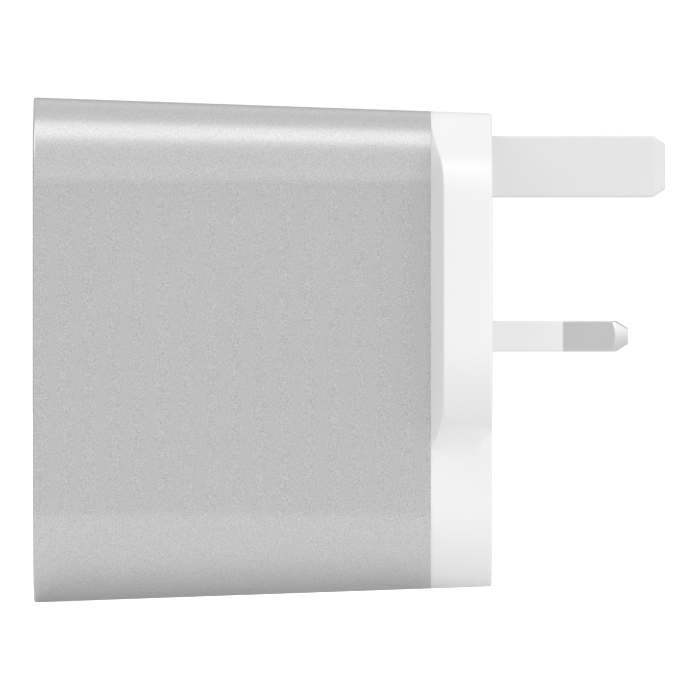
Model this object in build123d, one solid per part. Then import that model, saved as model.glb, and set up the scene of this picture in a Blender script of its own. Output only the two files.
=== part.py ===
from build123d import *
import math
import os

# Plug-in USB wall charger with a three-pin plug.
# Frame: +Z up, pins point to +Y, USB sockets face -Y, +X to the right seen from the sockets.
# Origin: on the plug face, half-way between the live and neutral pins.

os.makedirs("parts", exist_ok=True)

# ---------------------------------------------------------------- driving sizes, mm
# Outer body: a rounded block that grows towards the sockets by the moulding draft.
BODY_DEPTH = 59.9
BASE_DEPTH = 8.0
BODY_MID_Z = -1.8
FACE_HALF_WIDTH = 15.0
FACE_HALF_HEIGHT = 30.95
FACE_CORNER_RADIUS = 10.0
DRAFT_DEG = 2.0
DRAFT = math.tan(math.radians(DRAFT_DEG))
SLEEVE_WALL = 1.8
FIT_GAP = 0.05
EDGE_ROUND = 0.3

# Side wings of the plug base, which give the plug face its required width.
WING_HALF_WIDTH = 24.2
WING_FRONT_Y = -6.4
WING_ROOT_X = FACE_HALF_WIDTH + BASE_DEPTH * DRAFT
WING_SIDE_TOP_Z = 17.85
WING_SIDE_BOTTOM_Z = -1.8
WING_ARC_RADIUS = 10.5
WING_STEP_Z = -11.6
WING_FOOT_Z = -14.5
WING_FOOT_X = 15.05

# Plug pins, standard sizes.
PIN_SPACING = 22.22
PIN_WIDTH = 6.35
PIN_HEIGHT = 4.0
PIN_LENGTH = 17.7
PIN_SLEEVE_LENGTH = 9.25
PIN_SLEEVE_WALL = 0.5
EARTH_RISE = 22.23
EARTH_WIDTH = 4.0
EARTH_HEIGHT = 8.05
EARTH_LENGTH = 22.73
PIN_TIP_LENGTH = 1.57
PIN_TIP_DROP = 0.95
EARTH_TIP_DROP = 1.05
EARTH_TIP_SIDE = 0.6
PIN_TIP_INSET = 0.98

# Plug base inside.
FACE_WALL = 2.8
POCKET_HALF_WIDTH = 13.1
POCKET_HALF_HEIGHT = 29.1
POCKET_RADIUS = 8.0
HEAD_THICK = 1.5
HEAD_HALF_HEIGHT = 3.2
HEAD_INNER_X = 7.1
RETAINER_THICK = 2.6
RETAINER_REAR_Y = -(FACE_WALL + HEAD_THICK)
RETAINER_FRONT_Y = RETAINER_REAR_Y - RETAINER_THICK
TAIL_END_Y = -8.6
TAIL_X = 10.6
TAIL_HALF_WIDTH = 1.8
TAIL_HALF_HEIGHT = 1.5
SPIGOT_LENGTH = 3.0
SPIGOT_WALL = 1.4
SPIGOT_NOTCH_Z = 8.0
SCREW_X = 9.0
SCREW_TOP_Z = 13.0
SCREW_BOTTOM_Z = -16.0
SCREW_RADIUS = 1.0
SCREW_LENGTH = 5.5
SCREW_HEAD_RADIUS = 1.9
SCREW_HEAD_THICK = 1.3
RECESS_DEPTH = 0.7
RECESS_HALF_LENGTH = 1.1
RECESS_HALF_WIDTH = 0.25
BOSS_RADIUS = 2.6
HOLE_PLAY = 0.2
EARTH_HEAD_HALF_WIDTH = 3.6
EARTH_HEAD_LOW = 4.9
EARTH_HEAD_HIGH = 4.6

# Front bezel.
BEZEL_RECESS = 0.5
BEZEL_THICK = 2.4
BEZEL_RIB = 0.8
BEZEL_RIB_LENGTH = 1.2
SKIRT_WALL = 1.2
SKIRT_LENGTH = 3.5
HOOK_LENGTH = 1.1
HOOK_OFF_MIDDLE = 14.0
HOOK_HALF_WIDTH = 4.0
MOUTH_CHAMFER = 0.3
POST_X = 9.0
POST_Z = 19.5
POST_RADIUS = 1.6

# USB sockets.
SOCKET_MOUTH_Y = -59.1
SOCKET_WALL = 0.3
SOCKET_GAP = 0.1
USB_A_Z = -10.8
USB_A_WIDTH = 12.5
USB_A_HEIGHT = 5.12
USB_A_TONGUE_WIDTH = 11.1
USB_A_TONGUE_HEIGHT = 1.84
USB_A_TONGUE_RISE = 0.9
USB_C_Z = 7.2
USB_C_WIDTH = 8.34
USB_C_HEIGHT = 2.56
USB_C_TONGUE_WIDTH = 6.69
USB_C_TONGUE_HEIGHT = 0.7

# Boards.
BOARD_THICK = 1.6
USB_BOARD_FRONT_Y = -46.0
USB_BOARD_HALF_WIDTH = 12.4
USB_BOARD_HALF_HEIGHT = 23.5
BOARD_UNDER_X = -12.5
BOARD_TOP_X = BOARD_UNDER_X + BOARD_THICK
BOARD_FRONT_Y = -43.9
BOARD_REAR_Y = -12.0
BOARD_LOW_Z = -25.8
BOARD_HIGH_Z = 22.2
BOARD_PLAY = 0.1
STOP_OUTER_X = -16.0
STOP_RISE = 1.3
STOP_THICK = 2.1

# Transformer.
CORE_MID_Y = -32.0
CORE_MID_Z = -10.0
CORE_LOW_X = BOARD_TOP_X + 1.5
CORE_HEIGHT = 20.0
CORE_LENGTH = 22.0
CORE_THICK = 7.0
CORE_LEG = 3.0
CORE_CENTRE_LEG = 6.0
BOBBIN_GAP = 0.1
BOBBIN_WALL = 0.7
FLANGE_THICK = 0.8
WINDING_BUILD = 2.4
TAPE_THICK = 0.3

# Heat path on the right-hand wall.
PAD_THICK = 1.6
SPREADER_THICK = 0.5

# Sizes that follow from the ones above.
PIN_EDGE = 0.25
WING_CORE_X = 13.5
HEAD_POCKET_X = 14.4
HEAD_POCKET_Z = 3.4
SCREW_END_Y = RETAINER_FRONT_Y + SCREW_LENGTH

parts = {}


# ---------------------------------------------------------------- shared shape helpers
def block(x_limits, y_limits, z_limits):
    """A square-edged block between three pairs of limits."""
    limits = (x_limits, y_limits, z_limits)
    sizes = [high - low for low, high in limits]
    middles = [(high + low) / 2 for low, high in limits]
    return Pos(*middles) * Box(*sizes)


def rod(x, z, radius, y_limits):
    """A round bar lying along Y."""
    length = y_limits[1] - y_limits[0]
    middle = (y_limits[1] + y_limits[0]) / 2
    return Pos(x, middle, z) * Rot(90, 0, 0) * Cylinder(radius, length)


def section_plane(y):
    """Cross-section plane at depth y: local x is +X, local y is +Z, normal is -Y."""
    return Plane(origin=(0, y, 0), x_dir=(1, 0, 0), z_dir=(0, -1, 0))


def body_outline(grow):
    """Rounded outline of the body at the plug face, made larger all round by grow."""
    width = 2 * (FACE_HALF_WIDTH + grow)
    height = 2 * (FACE_HALF_HEIGHT + grow)
    return Pos(0, BODY_MID_Z) * RectangleRounded(width, height, FACE_CORNER_RADIUS + grow)


def body_block(y_rear, y_front, inset):
    """The drafted rounded body, shrunk all round by inset, between two depths."""
    outline = section_plane(y_rear) * body_outline(-y_rear * DRAFT - inset)
    return extrude(outline, amount=y_rear - y_front, taper=-DRAFT_DEG)


def rounded_bar(width, height, radius, x, z, y_limits):
    """A straight bar along Y with rounded corners."""
    outline = section_plane(y_limits[1]) * Pos(x, z) * RectangleRounded(width, height, radius)
    return extrude(outline, amount=y_limits[1] - y_limits[0])


# ---------------------------------------------------------------- body sleeve
# Moulded polycarbonate tube, painted silver, with a rib inside that the bezel rests on.
BEZEL_FACE_Y = -BODY_DEPTH + BEZEL_RECESS
BEZEL_BACK_Y = BEZEL_FACE_Y + BEZEL_THICK
RIB_BACK_Y = BEZEL_BACK_Y + BEZEL_RIB_LENGTH


def make_sleeve():
    outer = body_block(-BASE_DEPTH, -BODY_DEPTH, 0)
    front_loop = outer.faces().sort_by(Axis.Y)[0].edges()
    outer = fillet(front_loop, EDGE_ROUND)
    inner = body_block(-BASE_DEPTH, -BODY_DEPTH, SLEEVE_WALL)
    rib = body_block(RIB_BACK_Y, BEZEL_BACK_Y, SLEEVE_WALL - FIT_GAP)
    rib -= body_block(RIB_BACK_Y, BEZEL_BACK_Y, SLEEVE_WALL + BEZEL_RIB)
    stop_x = (STOP_OUTER_X, BOARD_TOP_X + STOP_RISE)
    stop_y = (BOARD_FRONT_Y, BOARD_REAR_Y)
    upper_z = BOARD_HIGH_Z + BOARD_PLAY
    lower_z = BOARD_LOW_Z - BOARD_PLAY
    stops = block(stop_x, stop_y, (upper_z, upper_z + STOP_THICK))
    stops += block(stop_x, stop_y, (lower_z - STOP_THICK, lower_z))
    stops &= body_block(-BASE_DEPTH, -BODY_DEPTH, SLEEVE_WALL - FIT_GAP)
    return outer - inner + rib + stops


parts["sleeve"] = make_sleeve()


# ---------------------------------------------------------------- USB socket outlines
def usb_a_bar(width, height, radius, y_limits):
    return rounded_bar(width, height, radius, 0, USB_A_Z, y_limits)


def usb_c_bar(width, height, y_limits):
    return rounded_bar(width, height, height / 2 - 0.001, 0, USB_C_Z, y_limits)


# ---------------------------------------------------------------- front bezel
# White snap-in plate around the sockets; posts behind it press on the USB board.
def make_front_bezel():
    plate = body_block(BEZEL_BACK_Y, BEZEL_FACE_Y, SLEEVE_WALL + FIT_GAP)
    skirt_end_y = BEZEL_BACK_Y + SKIRT_LENGTH
    skirt_inset = SLEEVE_WALL + BEZEL_RIB + FIT_GAP
    skirt = body_block(skirt_end_y, BEZEL_BACK_Y, skirt_inset)
    skirt -= body_block(skirt_end_y, BEZEL_BACK_Y, skirt_inset + SKIRT_WALL)
    hook_y = RIB_BACK_Y + FIT_GAP
    hooks = body_block(hook_y + HOOK_LENGTH, hook_y, SLEEVE_WALL + 2 * FIT_GAP)
    hooks -= body_block(hook_y + HOOK_LENGTH, hook_y, skirt_inset + FIT_GAP)
    hook_z = [BODY_MID_Z - HOOK_OFF_MIDDLE, BODY_MID_Z + HOOK_OFF_MIDDLE]
    across = (-WING_HALF_WIDTH, WING_HALF_WIDTH)
    along = (-BODY_DEPTH, -BASE_DEPTH)
    hook_zones = [block(across, along, (z - HOOK_HALF_WIDTH, z + HOOK_HALF_WIDTH)) for z in hook_z]
    bezel = plate + skirt
    for zone in hook_zones:
        bezel += hooks & zone
    for x in (-POST_X, POST_X):
        for z in (BODY_MID_Z - POST_Z, BODY_MID_Z + POST_Z):
            bezel += rod(x, z, POST_RADIUS, (BEZEL_BACK_Y - 1, USB_BOARD_FRONT_Y))
    cut_limits = (-BODY_DEPTH - 1, USB_BOARD_FRONT_Y + 1)
    wall = 2 * (SOCKET_WALL + SOCKET_GAP)
    bezel -= usb_a_bar(USB_A_WIDTH + wall, USB_A_HEIGHT + wall, 0.7, cut_limits)
    bezel -= usb_c_bar(USB_C_WIDTH + wall, USB_C_HEIGHT + wall, cut_limits)
    face = bezel.faces().filter_by(Axis.Y).sort_by(Axis.Y)[0]
    mouth_edges = [edge for wire in face.inner_wires() for edge in wire.edges()]
    return chamfer(mouth_edges, MOUTH_CHAMFER)


parts["front_bezel"] = make_front_bezel()


# ---------------------------------------------------------------- plug base with wings
# White polycarbonate end cap; the wings and the flat face are one moulding with it.
ARC_MID_X = WING_HALF_WIDTH - WING_ARC_RADIUS
ARC_END_DZ = WING_SIDE_BOTTOM_Z - WING_STEP_Z
STEP_X = ARC_MID_X + math.sqrt(WING_ARC_RADIUS ** 2 - ARC_END_DZ ** 2)
SHOULDER = [(8.75, 28.42), (15.4, 25.72), (18.75, 24.2), (21.3, 22.9)]
SHOULDER_CORNER = [(22.9, 21.65), (23.85, 19.9)]


def upper_wing_outline():
    """Shoulder and flat side of the wing, closed back inside the body."""
    side_top = (WING_HALF_WIDTH, WING_SIDE_TOP_Z)
    slope = Spline(SHOULDER + SHOULDER_CORNER + [side_top], tangents=[(2.475, -1), (0, -1)])
    rest = Polyline(
        side_top,
        (WING_HALF_WIDTH, WING_SIDE_BOTTOM_Z),
        (5, WING_SIDE_BOTTOM_Z),
        (5, SHOULDER[0][1]),
        SHOULDER[0],
    )
    return make_face(slope + rest)


def lower_wing_section(y, at_root):
    """Lower part of the wing at depth y: an arc about the pin, a step, the foot on the body."""
    low = WING_SIDE_BOTTOM_Z
    if at_root:
        start = (WING_ROOT_X, low)
        step = (WING_FOOT_X, WING_FOOT_Z + 0.1)
        edge = Line(start, step)
    else:
        start = (WING_HALF_WIDTH, low)
        step = (STEP_X, WING_STEP_Z)
        half_angle = math.asin(ARC_END_DZ / WING_ARC_RADIUS) / 2
        arc_x = ARC_MID_X + WING_ARC_RADIUS * math.cos(half_angle)
        arc_z = low - WING_ARC_RADIUS * math.sin(half_angle)
        edge = ThreePointArc(start, (arc_x, arc_z), step)
    foot = (WING_FOOT_X, WING_FOOT_Z)
    rest = Polyline(step, foot, (WING_CORE_X, WING_FOOT_Z), (WING_CORE_X, low), start)
    return section_plane(y) * make_face(edge + rest)


def behind_front_slope():
    """Space behind the sloping front wall, which runs out from the sleeve edge all round."""
    root = body_outline(BASE_DEPTH * DRAFT)
    rim = body_outline(BASE_DEPTH * DRAFT + WING_HALF_WIDTH - WING_ROOT_X)
    rim = section_plane(WING_FRONT_Y) * rim
    slope = loft([rim, section_plane(-BASE_DEPTH) * root], ruled=True)
    return slope + extrude(rim, amount=WING_FRONT_Y)


def make_wing():
    """One wing on the +X side, from the sleeve edge back to the plug face."""
    upper = extrude(section_plane(0) * upper_wing_outline(), amount=BASE_DEPTH)
    upper &= behind_front_slope()
    lower = extrude(lower_wing_section(0, False), amount=-WING_FRONT_Y)
    ends = [lower_wing_section(WING_FRONT_Y, False), lower_wing_section(-BASE_DEPTH, True)]
    return upper + lower + loft(ends, ruled=True)


def make_plug_base():
    body = body_block(0, -BASE_DEPTH, 0)
    right = make_wing()
    base = body + right + mirror(right, about=Plane.YZ)
    plug_face = base.faces().sort_by(Axis.Y)[-1]
    base = fillet(plug_face.outer_wire().edges(), EDGE_ROUND)
    pocket = body_pocket(-FACE_WALL, -BASE_DEPTH)
    base -= pocket
    spigot = body_block(-BASE_DEPTH + 1, -BASE_DEPTH - SPIGOT_LENGTH, SLEEVE_WALL + FIT_GAP)
    spigot -= body_block(-BASE_DEPTH + 1, -BASE_DEPTH - SPIGOT_LENGTH, SLEEVE_WALL + SPIGOT_WALL)
    notch = (-SPIGOT_NOTCH_Z, SPIGOT_NOTCH_Z)
    spigot -= block((-20, 20), (-20, 0), notch)
    base += spigot
    for x_sign in (-1, 1):
        near, far = sorted((x_sign * 5, x_sign * HEAD_POCKET_X))
        base -= block((near, far), (-BASE_DEPTH - 1, -FACE_WALL), (-HEAD_POCKET_Z, HEAD_POCKET_Z))
    for x in (-SCREW_X, SCREW_X):
        for z in (SCREW_BOTTOM_Z, SCREW_TOP_Z):
            base += rod(x, z, BOSS_RADIUS, (RETAINER_REAR_Y, -FACE_WALL))
            hole_y = (RETAINER_REAR_Y - 1, SCREW_END_Y + HOLE_PLAY)
            base -= rod(x, z, SCREW_RADIUS + 0.02, hole_y)
    for x in (-PIN_SPACING / 2, PIN_SPACING / 2):
        base -= rounded_bar(PIN_WIDTH, PIN_HEIGHT, PIN_EDGE, x, 0, (-FACE_WALL - 1, 1))
    base -= rounded_bar(EARTH_WIDTH, EARTH_HEIGHT, PIN_EDGE, 0, EARTH_RISE, (-FACE_WALL - 1, 1))
    return base


def body_pocket(y_rear, y_front):
    """Hollow behind the face wall where the pin heads and the retainer plate sit."""
    width = 2 * POCKET_HALF_WIDTH
    height = 2 * POCKET_HALF_HEIGHT
    return rounded_bar(width, height, POCKET_RADIUS, 0, BODY_MID_Z, (y_front - 1, y_rear))


parts["plug_base"] = make_plug_base()


# ---------------------------------------------------------------- live and neutral pins
# Solid nickel-plated brass, necked for the insulating sleeve, headed behind the face wall.
def tapered_tip(half_width, half_height, length, y_end, side_drop, drop):
    """Envelope that narrows the last stretch of a pin; common with the pin gives its tip."""
    wide = section_plane(y_end - length) * Rectangle(2 * half_width, 2 * half_height)
    narrow = Rectangle(2 * (half_width - side_drop), 2 * (half_height - drop))
    narrow = section_plane(y_end) * narrow
    return loft([wide, narrow], ruled=True)


def make_power_pin(side):
    x = side * PIN_SPACING / 2
    neck_width = PIN_WIDTH - 2 * PIN_SLEEVE_WALL
    neck_height = PIN_HEIGHT - 2 * PIN_SLEEVE_WALL
    tip_start = PIN_LENGTH - PIN_TIP_LENGTH
    neck = rounded_bar(neck_width, neck_height, 0.2, x, 0, (-FACE_WALL, PIN_SLEEVE_LENGTH))
    blade = rounded_bar(PIN_WIDTH, PIN_HEIGHT, PIN_EDGE, x, 0, (PIN_SLEEVE_LENGTH, tip_start))
    tip = Pos(x, 0, 0) * tapered_tip(
        PIN_WIDTH / 2, PIN_HEIGHT / 2, PIN_TIP_LENGTH, PIN_LENGTH, PIN_TIP_INSET, PIN_TIP_DROP
    )
    tip &= rounded_bar(PIN_WIDTH, PIN_HEIGHT, PIN_EDGE, x, 0, (tip_start, PIN_LENGTH))
    outer_x = PIN_SPACING / 2 + PIN_WIDTH / 2
    near, far = sorted((side * HEAD_INNER_X, side * outer_x))
    head = block((near, far), (RETAINER_REAR_Y, -FACE_WALL), (-HEAD_HALF_HEIGHT, HEAD_HALF_HEIGHT))
    tail_near = side * TAIL_X - TAIL_HALF_WIDTH
    tail_far = side * TAIL_X + TAIL_HALF_WIDTH
    tail_z = (-TAIL_HALF_HEIGHT, TAIL_HALF_HEIGHT)
    tail = block((tail_near, tail_far), (TAIL_END_Y, RETAINER_REAR_Y), tail_z)
    return neck + blade + tip + head + tail


parts["live_pin"] = make_power_pin(1)
parts["neutral_pin"] = make_power_pin(-1)


# ---------------------------------------------------------------- pin insulating sleeves
# Nylon tubes moulded on the pins; they run through the face wall to the pin heads.
def make_pin_sleeve(side):
    x = side * PIN_SPACING / 2
    limits = (-FACE_WALL, PIN_SLEEVE_LENGTH)
    neck_width = PIN_WIDTH - 2 * PIN_SLEEVE_WALL
    neck_height = PIN_HEIGHT - 2 * PIN_SLEEVE_WALL
    tube = rounded_bar(PIN_WIDTH, PIN_HEIGHT, PIN_EDGE, x, 0, limits)
    return tube - rounded_bar(neck_width, neck_height, 0.2, x, 0, limits)


parts["live_pin_sleeve"] = make_pin_sleeve(1)
parts["neutral_pin_sleeve"] = make_pin_sleeve(-1)


# ---------------------------------------------------------------- earth pin
# Plastic pin that only opens the socket shutters; its head is trapped behind the face wall.
def make_earth_pin():
    tip_start = EARTH_LENGTH - PIN_TIP_LENGTH
    limits = (-FACE_WALL, tip_start)
    blade = rounded_bar(EARTH_WIDTH, EARTH_HEIGHT, PIN_EDGE, 0, EARTH_RISE, limits)
    tip = Pos(0, 0, EARTH_RISE) * tapered_tip(
        EARTH_WIDTH / 2, EARTH_HEIGHT / 2, PIN_TIP_LENGTH, EARTH_LENGTH, EARTH_TIP_SIDE, EARTH_TIP_DROP
    )
    tip_limits = (tip_start, EARTH_LENGTH)
    tip &= rounded_bar(EARTH_WIDTH, EARTH_HEIGHT, PIN_EDGE, 0, EARTH_RISE, tip_limits)
    head_x = (-EARTH_HEAD_HALF_WIDTH, EARTH_HEAD_HALF_WIDTH)
    head_z = (EARTH_RISE - EARTH_HEAD_LOW, EARTH_RISE + EARTH_HEAD_HIGH)
    head = block(head_x, (RETAINER_REAR_Y, -FACE_WALL), head_z)
    return blade + tip + head


parts["earth_pin"] = make_earth_pin()


# ---------------------------------------------------------------- pin retainer
# Plastic plate screwed down over the three pin heads, with windows for the live pin tails.
def make_pin_retainer():
    limits = (RETAINER_FRONT_Y, RETAINER_REAR_Y)
    width = 2 * POCKET_HALF_WIDTH - 0.4
    height = 2 * POCKET_HALF_HEIGHT - 0.4
    plate = rounded_bar(width, height, POCKET_RADIUS - 0.2, 0, BODY_MID_Z, limits)
    ear_x = HEAD_POCKET_X - 0.1
    plate += block((-ear_x, ear_x), limits, (-HEAD_HALF_HEIGHT, HEAD_HALF_HEIGHT))
    for side in (-1, 1):
        x_limits = (side * TAIL_X - TAIL_HALF_WIDTH - 0.1, side * TAIL_X + TAIL_HALF_WIDTH + 0.1)
        z_limits = (-TAIL_HALF_HEIGHT - 0.1, TAIL_HALF_HEIGHT + 0.1)
        plate -= block(x_limits, (limits[0] - 1, limits[1] + 1), z_limits)
    for x in (-SCREW_X, SCREW_X):
        for z in (SCREW_BOTTOM_Z, SCREW_TOP_Z):
            plate -= rod(x, z, SCREW_RADIUS + 0.15, (limits[0] - 1, limits[1] + 1))
    return plate


parts["pin_retainer"] = make_pin_retainer()


# ---------------------------------------------------------------- retainer screws
# Four small zinc-plated screws with cross recesses.
def make_retainer_screws():
    screws = []
    for x in (-SCREW_X, SCREW_X):
        for z in (SCREW_BOTTOM_Z, SCREW_TOP_Z):
            screw = rod(x, z, SCREW_RADIUS, (RETAINER_FRONT_Y, SCREW_END_Y))
            head_y = RETAINER_FRONT_Y - SCREW_HEAD_THICK
            head = rod(x, z, SCREW_HEAD_RADIUS, (head_y, RETAINER_FRONT_Y))
            recess_y = (head_y - 1, head_y + RECESS_DEPTH)
            long_x = (x - RECESS_HALF_LENGTH, x + RECESS_HALF_LENGTH)
            long_z = (z - RECESS_HALF_LENGTH, z + RECESS_HALF_LENGTH)
            head -= block(long_x, recess_y, (z - RECESS_HALF_WIDTH, z + RECESS_HALF_WIDTH))
            head -= block((x - RECESS_HALF_WIDTH, x + RECESS_HALF_WIDTH), recess_y, long_z)
            screws.append(screw + head)
    return Compound(children=screws)


parts["retainer_screws"] = make_retainer_screws()


# ---------------------------------------------------------------- contact springs
# Bent copper-alloy strips that press on the pin tails and stand on the main board.
SPRING_THICK = 0.3
SPRING_HALF_WIDTH = 2.0


def make_spring(x_left, x_right, rise_x, foot_y):
    thick = SPRING_THICK
    z_limits = (-SPRING_HALF_WIDTH, SPRING_HALF_WIDTH)
    blade = block((x_left, x_right), (TAIL_END_Y - thick, TAIL_END_Y), z_limits)
    riser = block((rise_x, rise_x + thick), (foot_y, TAIL_END_Y), z_limits)
    foot = block((BOARD_TOP_X, rise_x), (foot_y, foot_y + thick), z_limits)
    pad = block((BOARD_TOP_X, BOARD_TOP_X + thick), (foot_y - 2, foot_y + thick), z_limits)
    return blade + riser + foot + pad


parts["live_spring"] = make_spring(-4, 12.3, -4, -17.5)
parts["neutral_spring"] = make_spring(-12.3, -8.4, -8.7, -14.0)


# ---------------------------------------------------------------- transformer
# Ferrite E halves round a nylon bobbin; copper winding under a layer of yellow tape.
CORE_MID_X = CORE_LOW_X + CORE_HEIGHT / 2
CORE_LOW_Z = CORE_MID_Z - CORE_LENGTH / 2
CORE_HIGH_Z = CORE_MID_Z + CORE_LENGTH / 2
WINDOW_LOW_Z = CORE_LOW_Z + CORE_LEG
WINDOW_HIGH_Z = CORE_HIGH_Z - CORE_LEG
TUBE_HALF_X = CORE_CENTRE_LEG / 2 + BOBBIN_GAP + BOBBIN_WALL
TUBE_HALF_Y = CORE_THICK / 2 + BOBBIN_GAP + BOBBIN_WALL
FLANGE_HALF_X = CORE_HEIGHT / 2 - CORE_LEG - BOBBIN_GAP
FLANGE_HALF_Y = TUBE_HALF_Y + WINDING_BUILD + TAPE_THICK + 0.4
FOOT_THICK = 2.0
FOOT_INNER_Y = CORE_THICK / 2 + 0.3


def around_core(half_x, half_y, z_limits):
    """Block centred on the core's middle leg."""
    x_limits = (CORE_MID_X - half_x, CORE_MID_X + half_x)
    y_limits = (CORE_MID_Y - half_y, CORE_MID_Y + half_y)
    return block(x_limits, y_limits, z_limits)


def make_transformer_core():
    halves = []
    for z_limits in ((CORE_LOW_Z, CORE_MID_Z - 0.05), (CORE_MID_Z + 0.05, CORE_HIGH_Z)):
        half = around_core(CORE_HEIGHT / 2, CORE_THICK / 2, z_limits)
        for side in (-1, 1):
            near = side * CORE_CENTRE_LEG / 2
            far = side * (CORE_HEIGHT / 2 - CORE_LEG)
            low, high = sorted((CORE_MID_X + near, CORE_MID_X + far))
            half -= block((low, high), (CORE_MID_Y - 9, CORE_MID_Y + 9), (WINDOW_LOW_Z, WINDOW_HIGH_Z))
        halves.append(half)
    return Compound(children=halves)


parts["transformer_core"] = make_transformer_core()


def foot_limits():
    """Y and Z limits of the four bobbin feet."""
    low_z = WINDOW_LOW_Z + BOBBIN_GAP
    high_z = WINDOW_HIGH_Z - BOBBIN_GAP
    z_pairs = ((low_z, low_z + FOOT_THICK), (high_z - FOOT_THICK, high_z))
    y_pairs = (
        (CORE_MID_Y - FLANGE_HALF_Y, CORE_MID_Y - FOOT_INNER_Y),
        (CORE_MID_Y + FOOT_INNER_Y, CORE_MID_Y + FLANGE_HALF_Y),
    )
    return [(y_pair, z_pair) for y_pair in y_pairs for z_pair in z_pairs]


def make_transformer_bobbin():
    low_z = WINDOW_LOW_Z + BOBBIN_GAP
    high_z = WINDOW_HIGH_Z - BOBBIN_GAP
    bobbin = around_core(TUBE_HALF_X, TUBE_HALF_Y, (low_z, high_z))
    bobbin += around_core(FLANGE_HALF_X, FLANGE_HALF_Y, (low_z, low_z + FLANGE_THICK))
    bobbin += around_core(FLANGE_HALF_X, FLANGE_HALF_Y, (high_z - FLANGE_THICK, high_z))
    inner_x = TUBE_HALF_X - BOBBIN_WALL
    inner_y = TUBE_HALF_Y - BOBBIN_WALL
    bobbin -= around_core(inner_x, inner_y, (low_z - 1, high_z + 1))
    foot_top_x = CORE_MID_X - FLANGE_HALF_X + 0.3
    for y_pair, z_pair in foot_limits():
        bobbin += block((BOARD_TOP_X, foot_top_x), y_pair, z_pair)
    return bobbin


parts["transformer_bobbin"] = make_transformer_bobbin()
WINDING_LOW_Z = WINDOW_LOW_Z + BOBBIN_GAP + FLANGE_THICK
WINDING_HIGH_Z = WINDOW_HIGH_Z - BOBBIN_GAP - FLANGE_THICK


def wound_block(build):
    """Rounded block round the bobbin tube, standing out from it by build."""
    z_limits = (WINDING_LOW_Z, WINDING_HIGH_Z)
    solid = around_core(TUBE_HALF_X + build, TUBE_HALF_Y + build, z_limits)
    return fillet(solid.edges().filter_by(Axis.Z), build)


def make_transformer_winding():
    hole = around_core(TUBE_HALF_X, TUBE_HALF_Y, (WINDING_LOW_Z - 1, WINDING_HIGH_Z + 1))
    return wound_block(WINDING_BUILD) - hole


parts["transformer_winding"] = make_transformer_winding()
parts["transformer_tape"] = wound_block(WINDING_BUILD + TAPE_THICK) - wound_block(WINDING_BUILD)


def pin_centres():
    """Y and Z of the transformer pins, one under each bobbin foot end."""
    centres = []
    for y_pair, z_pair in foot_limits():
        middle_z = (z_pair[0] + z_pair[1]) / 2
        centres.append((y_pair[0] + 0.9, middle_z))
        centres.append((y_pair[1] - 0.9, middle_z))
    return centres


def board_rod(y, z, radius):
    """A short bar through the thickness of the main board."""
    middle_x = (BOARD_UNDER_X + BOARD_TOP_X) / 2
    return Pos(middle_x, y, z) * Rot(0, 90, 0) * Cylinder(radius, BOARD_THICK)


parts["transformer_pins"] = Compound(children=[board_rod(y, z, 0.4) for y, z in pin_centres()])


# ---------------------------------------------------------------- main board
# Glass-fibre board standing along the left wall, drilled for the transformer pins.
def make_main_board():
    x_limits = (BOARD_UNDER_X, BOARD_TOP_X)
    board = block(x_limits, (BOARD_FRONT_Y, BOARD_REAR_Y), (BOARD_LOW_Z, BOARD_HIGH_Z))
    for y, z in pin_centres():
        board -= board_rod(y, z, 0.5)
    return board


parts["main_board"] = make_main_board()
sheet_z = (BOARD_LOW_Z + 0.5, BOARD_HIGH_Z - 0.5)
sheet_y = (BOARD_FRONT_Y + 0.5, BOARD_REAR_Y - 0.5)
parts["insulation_sheet"] = block((BOARD_UNDER_X - 0.3, BOARD_UNDER_X), sheet_y, sheet_z)


# ---------------------------------------------------------------- parts on the main board
def on_board(height, y_limits, z_limits):
    """A block standing on the main board."""
    return block((BOARD_TOP_X, BOARD_TOP_X + height), y_limits, z_limits)


def disc_on_board(radius, lift, y_limits, z):
    """An upright disc with its two leads, standing on the main board."""
    centre_x = BOARD_TOP_X + lift + radius
    disc = rod(centre_x, z, radius, y_limits)
    middle_y = (y_limits[0] + y_limits[1]) / 2
    for step in (-radius / 2, radius / 2):
        lead_z = (z + step - 0.3, z + step + 0.3)
        disc += on_board(lift + radius, (middle_y - 0.3, middle_y + 0.3), lead_z)
    return disc


BULK_RADIUS = 4.7
BULK_Z = (7.6, 17.4)
BULK_FRONT_Y = -42.0
BULK_REAR_Y = -22.0
SEAL_LENGTH = 1.2


def make_bulk_capacitors():
    x = BOARD_TOP_X + BULK_RADIUS
    limits = (BULK_FRONT_Y + SEAL_LENGTH, BULK_REAR_Y)
    cans = []
    for z in BULK_Z:
        can = rod(x, z, BULK_RADIUS, limits)
        cans.append(fillet(can.edges().sort_by(Axis.Y)[-1], 0.5))
    return Compound(children=cans)


def make_capacitor_seals():
    x = BOARD_TOP_X + BULK_RADIUS
    limits = (BULK_FRONT_Y, BULK_FRONT_Y + SEAL_LENGTH)
    return Compound(children=[rod(x, z, BULK_RADIUS - 0.5, limits) for z in BULK_Z])


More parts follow.
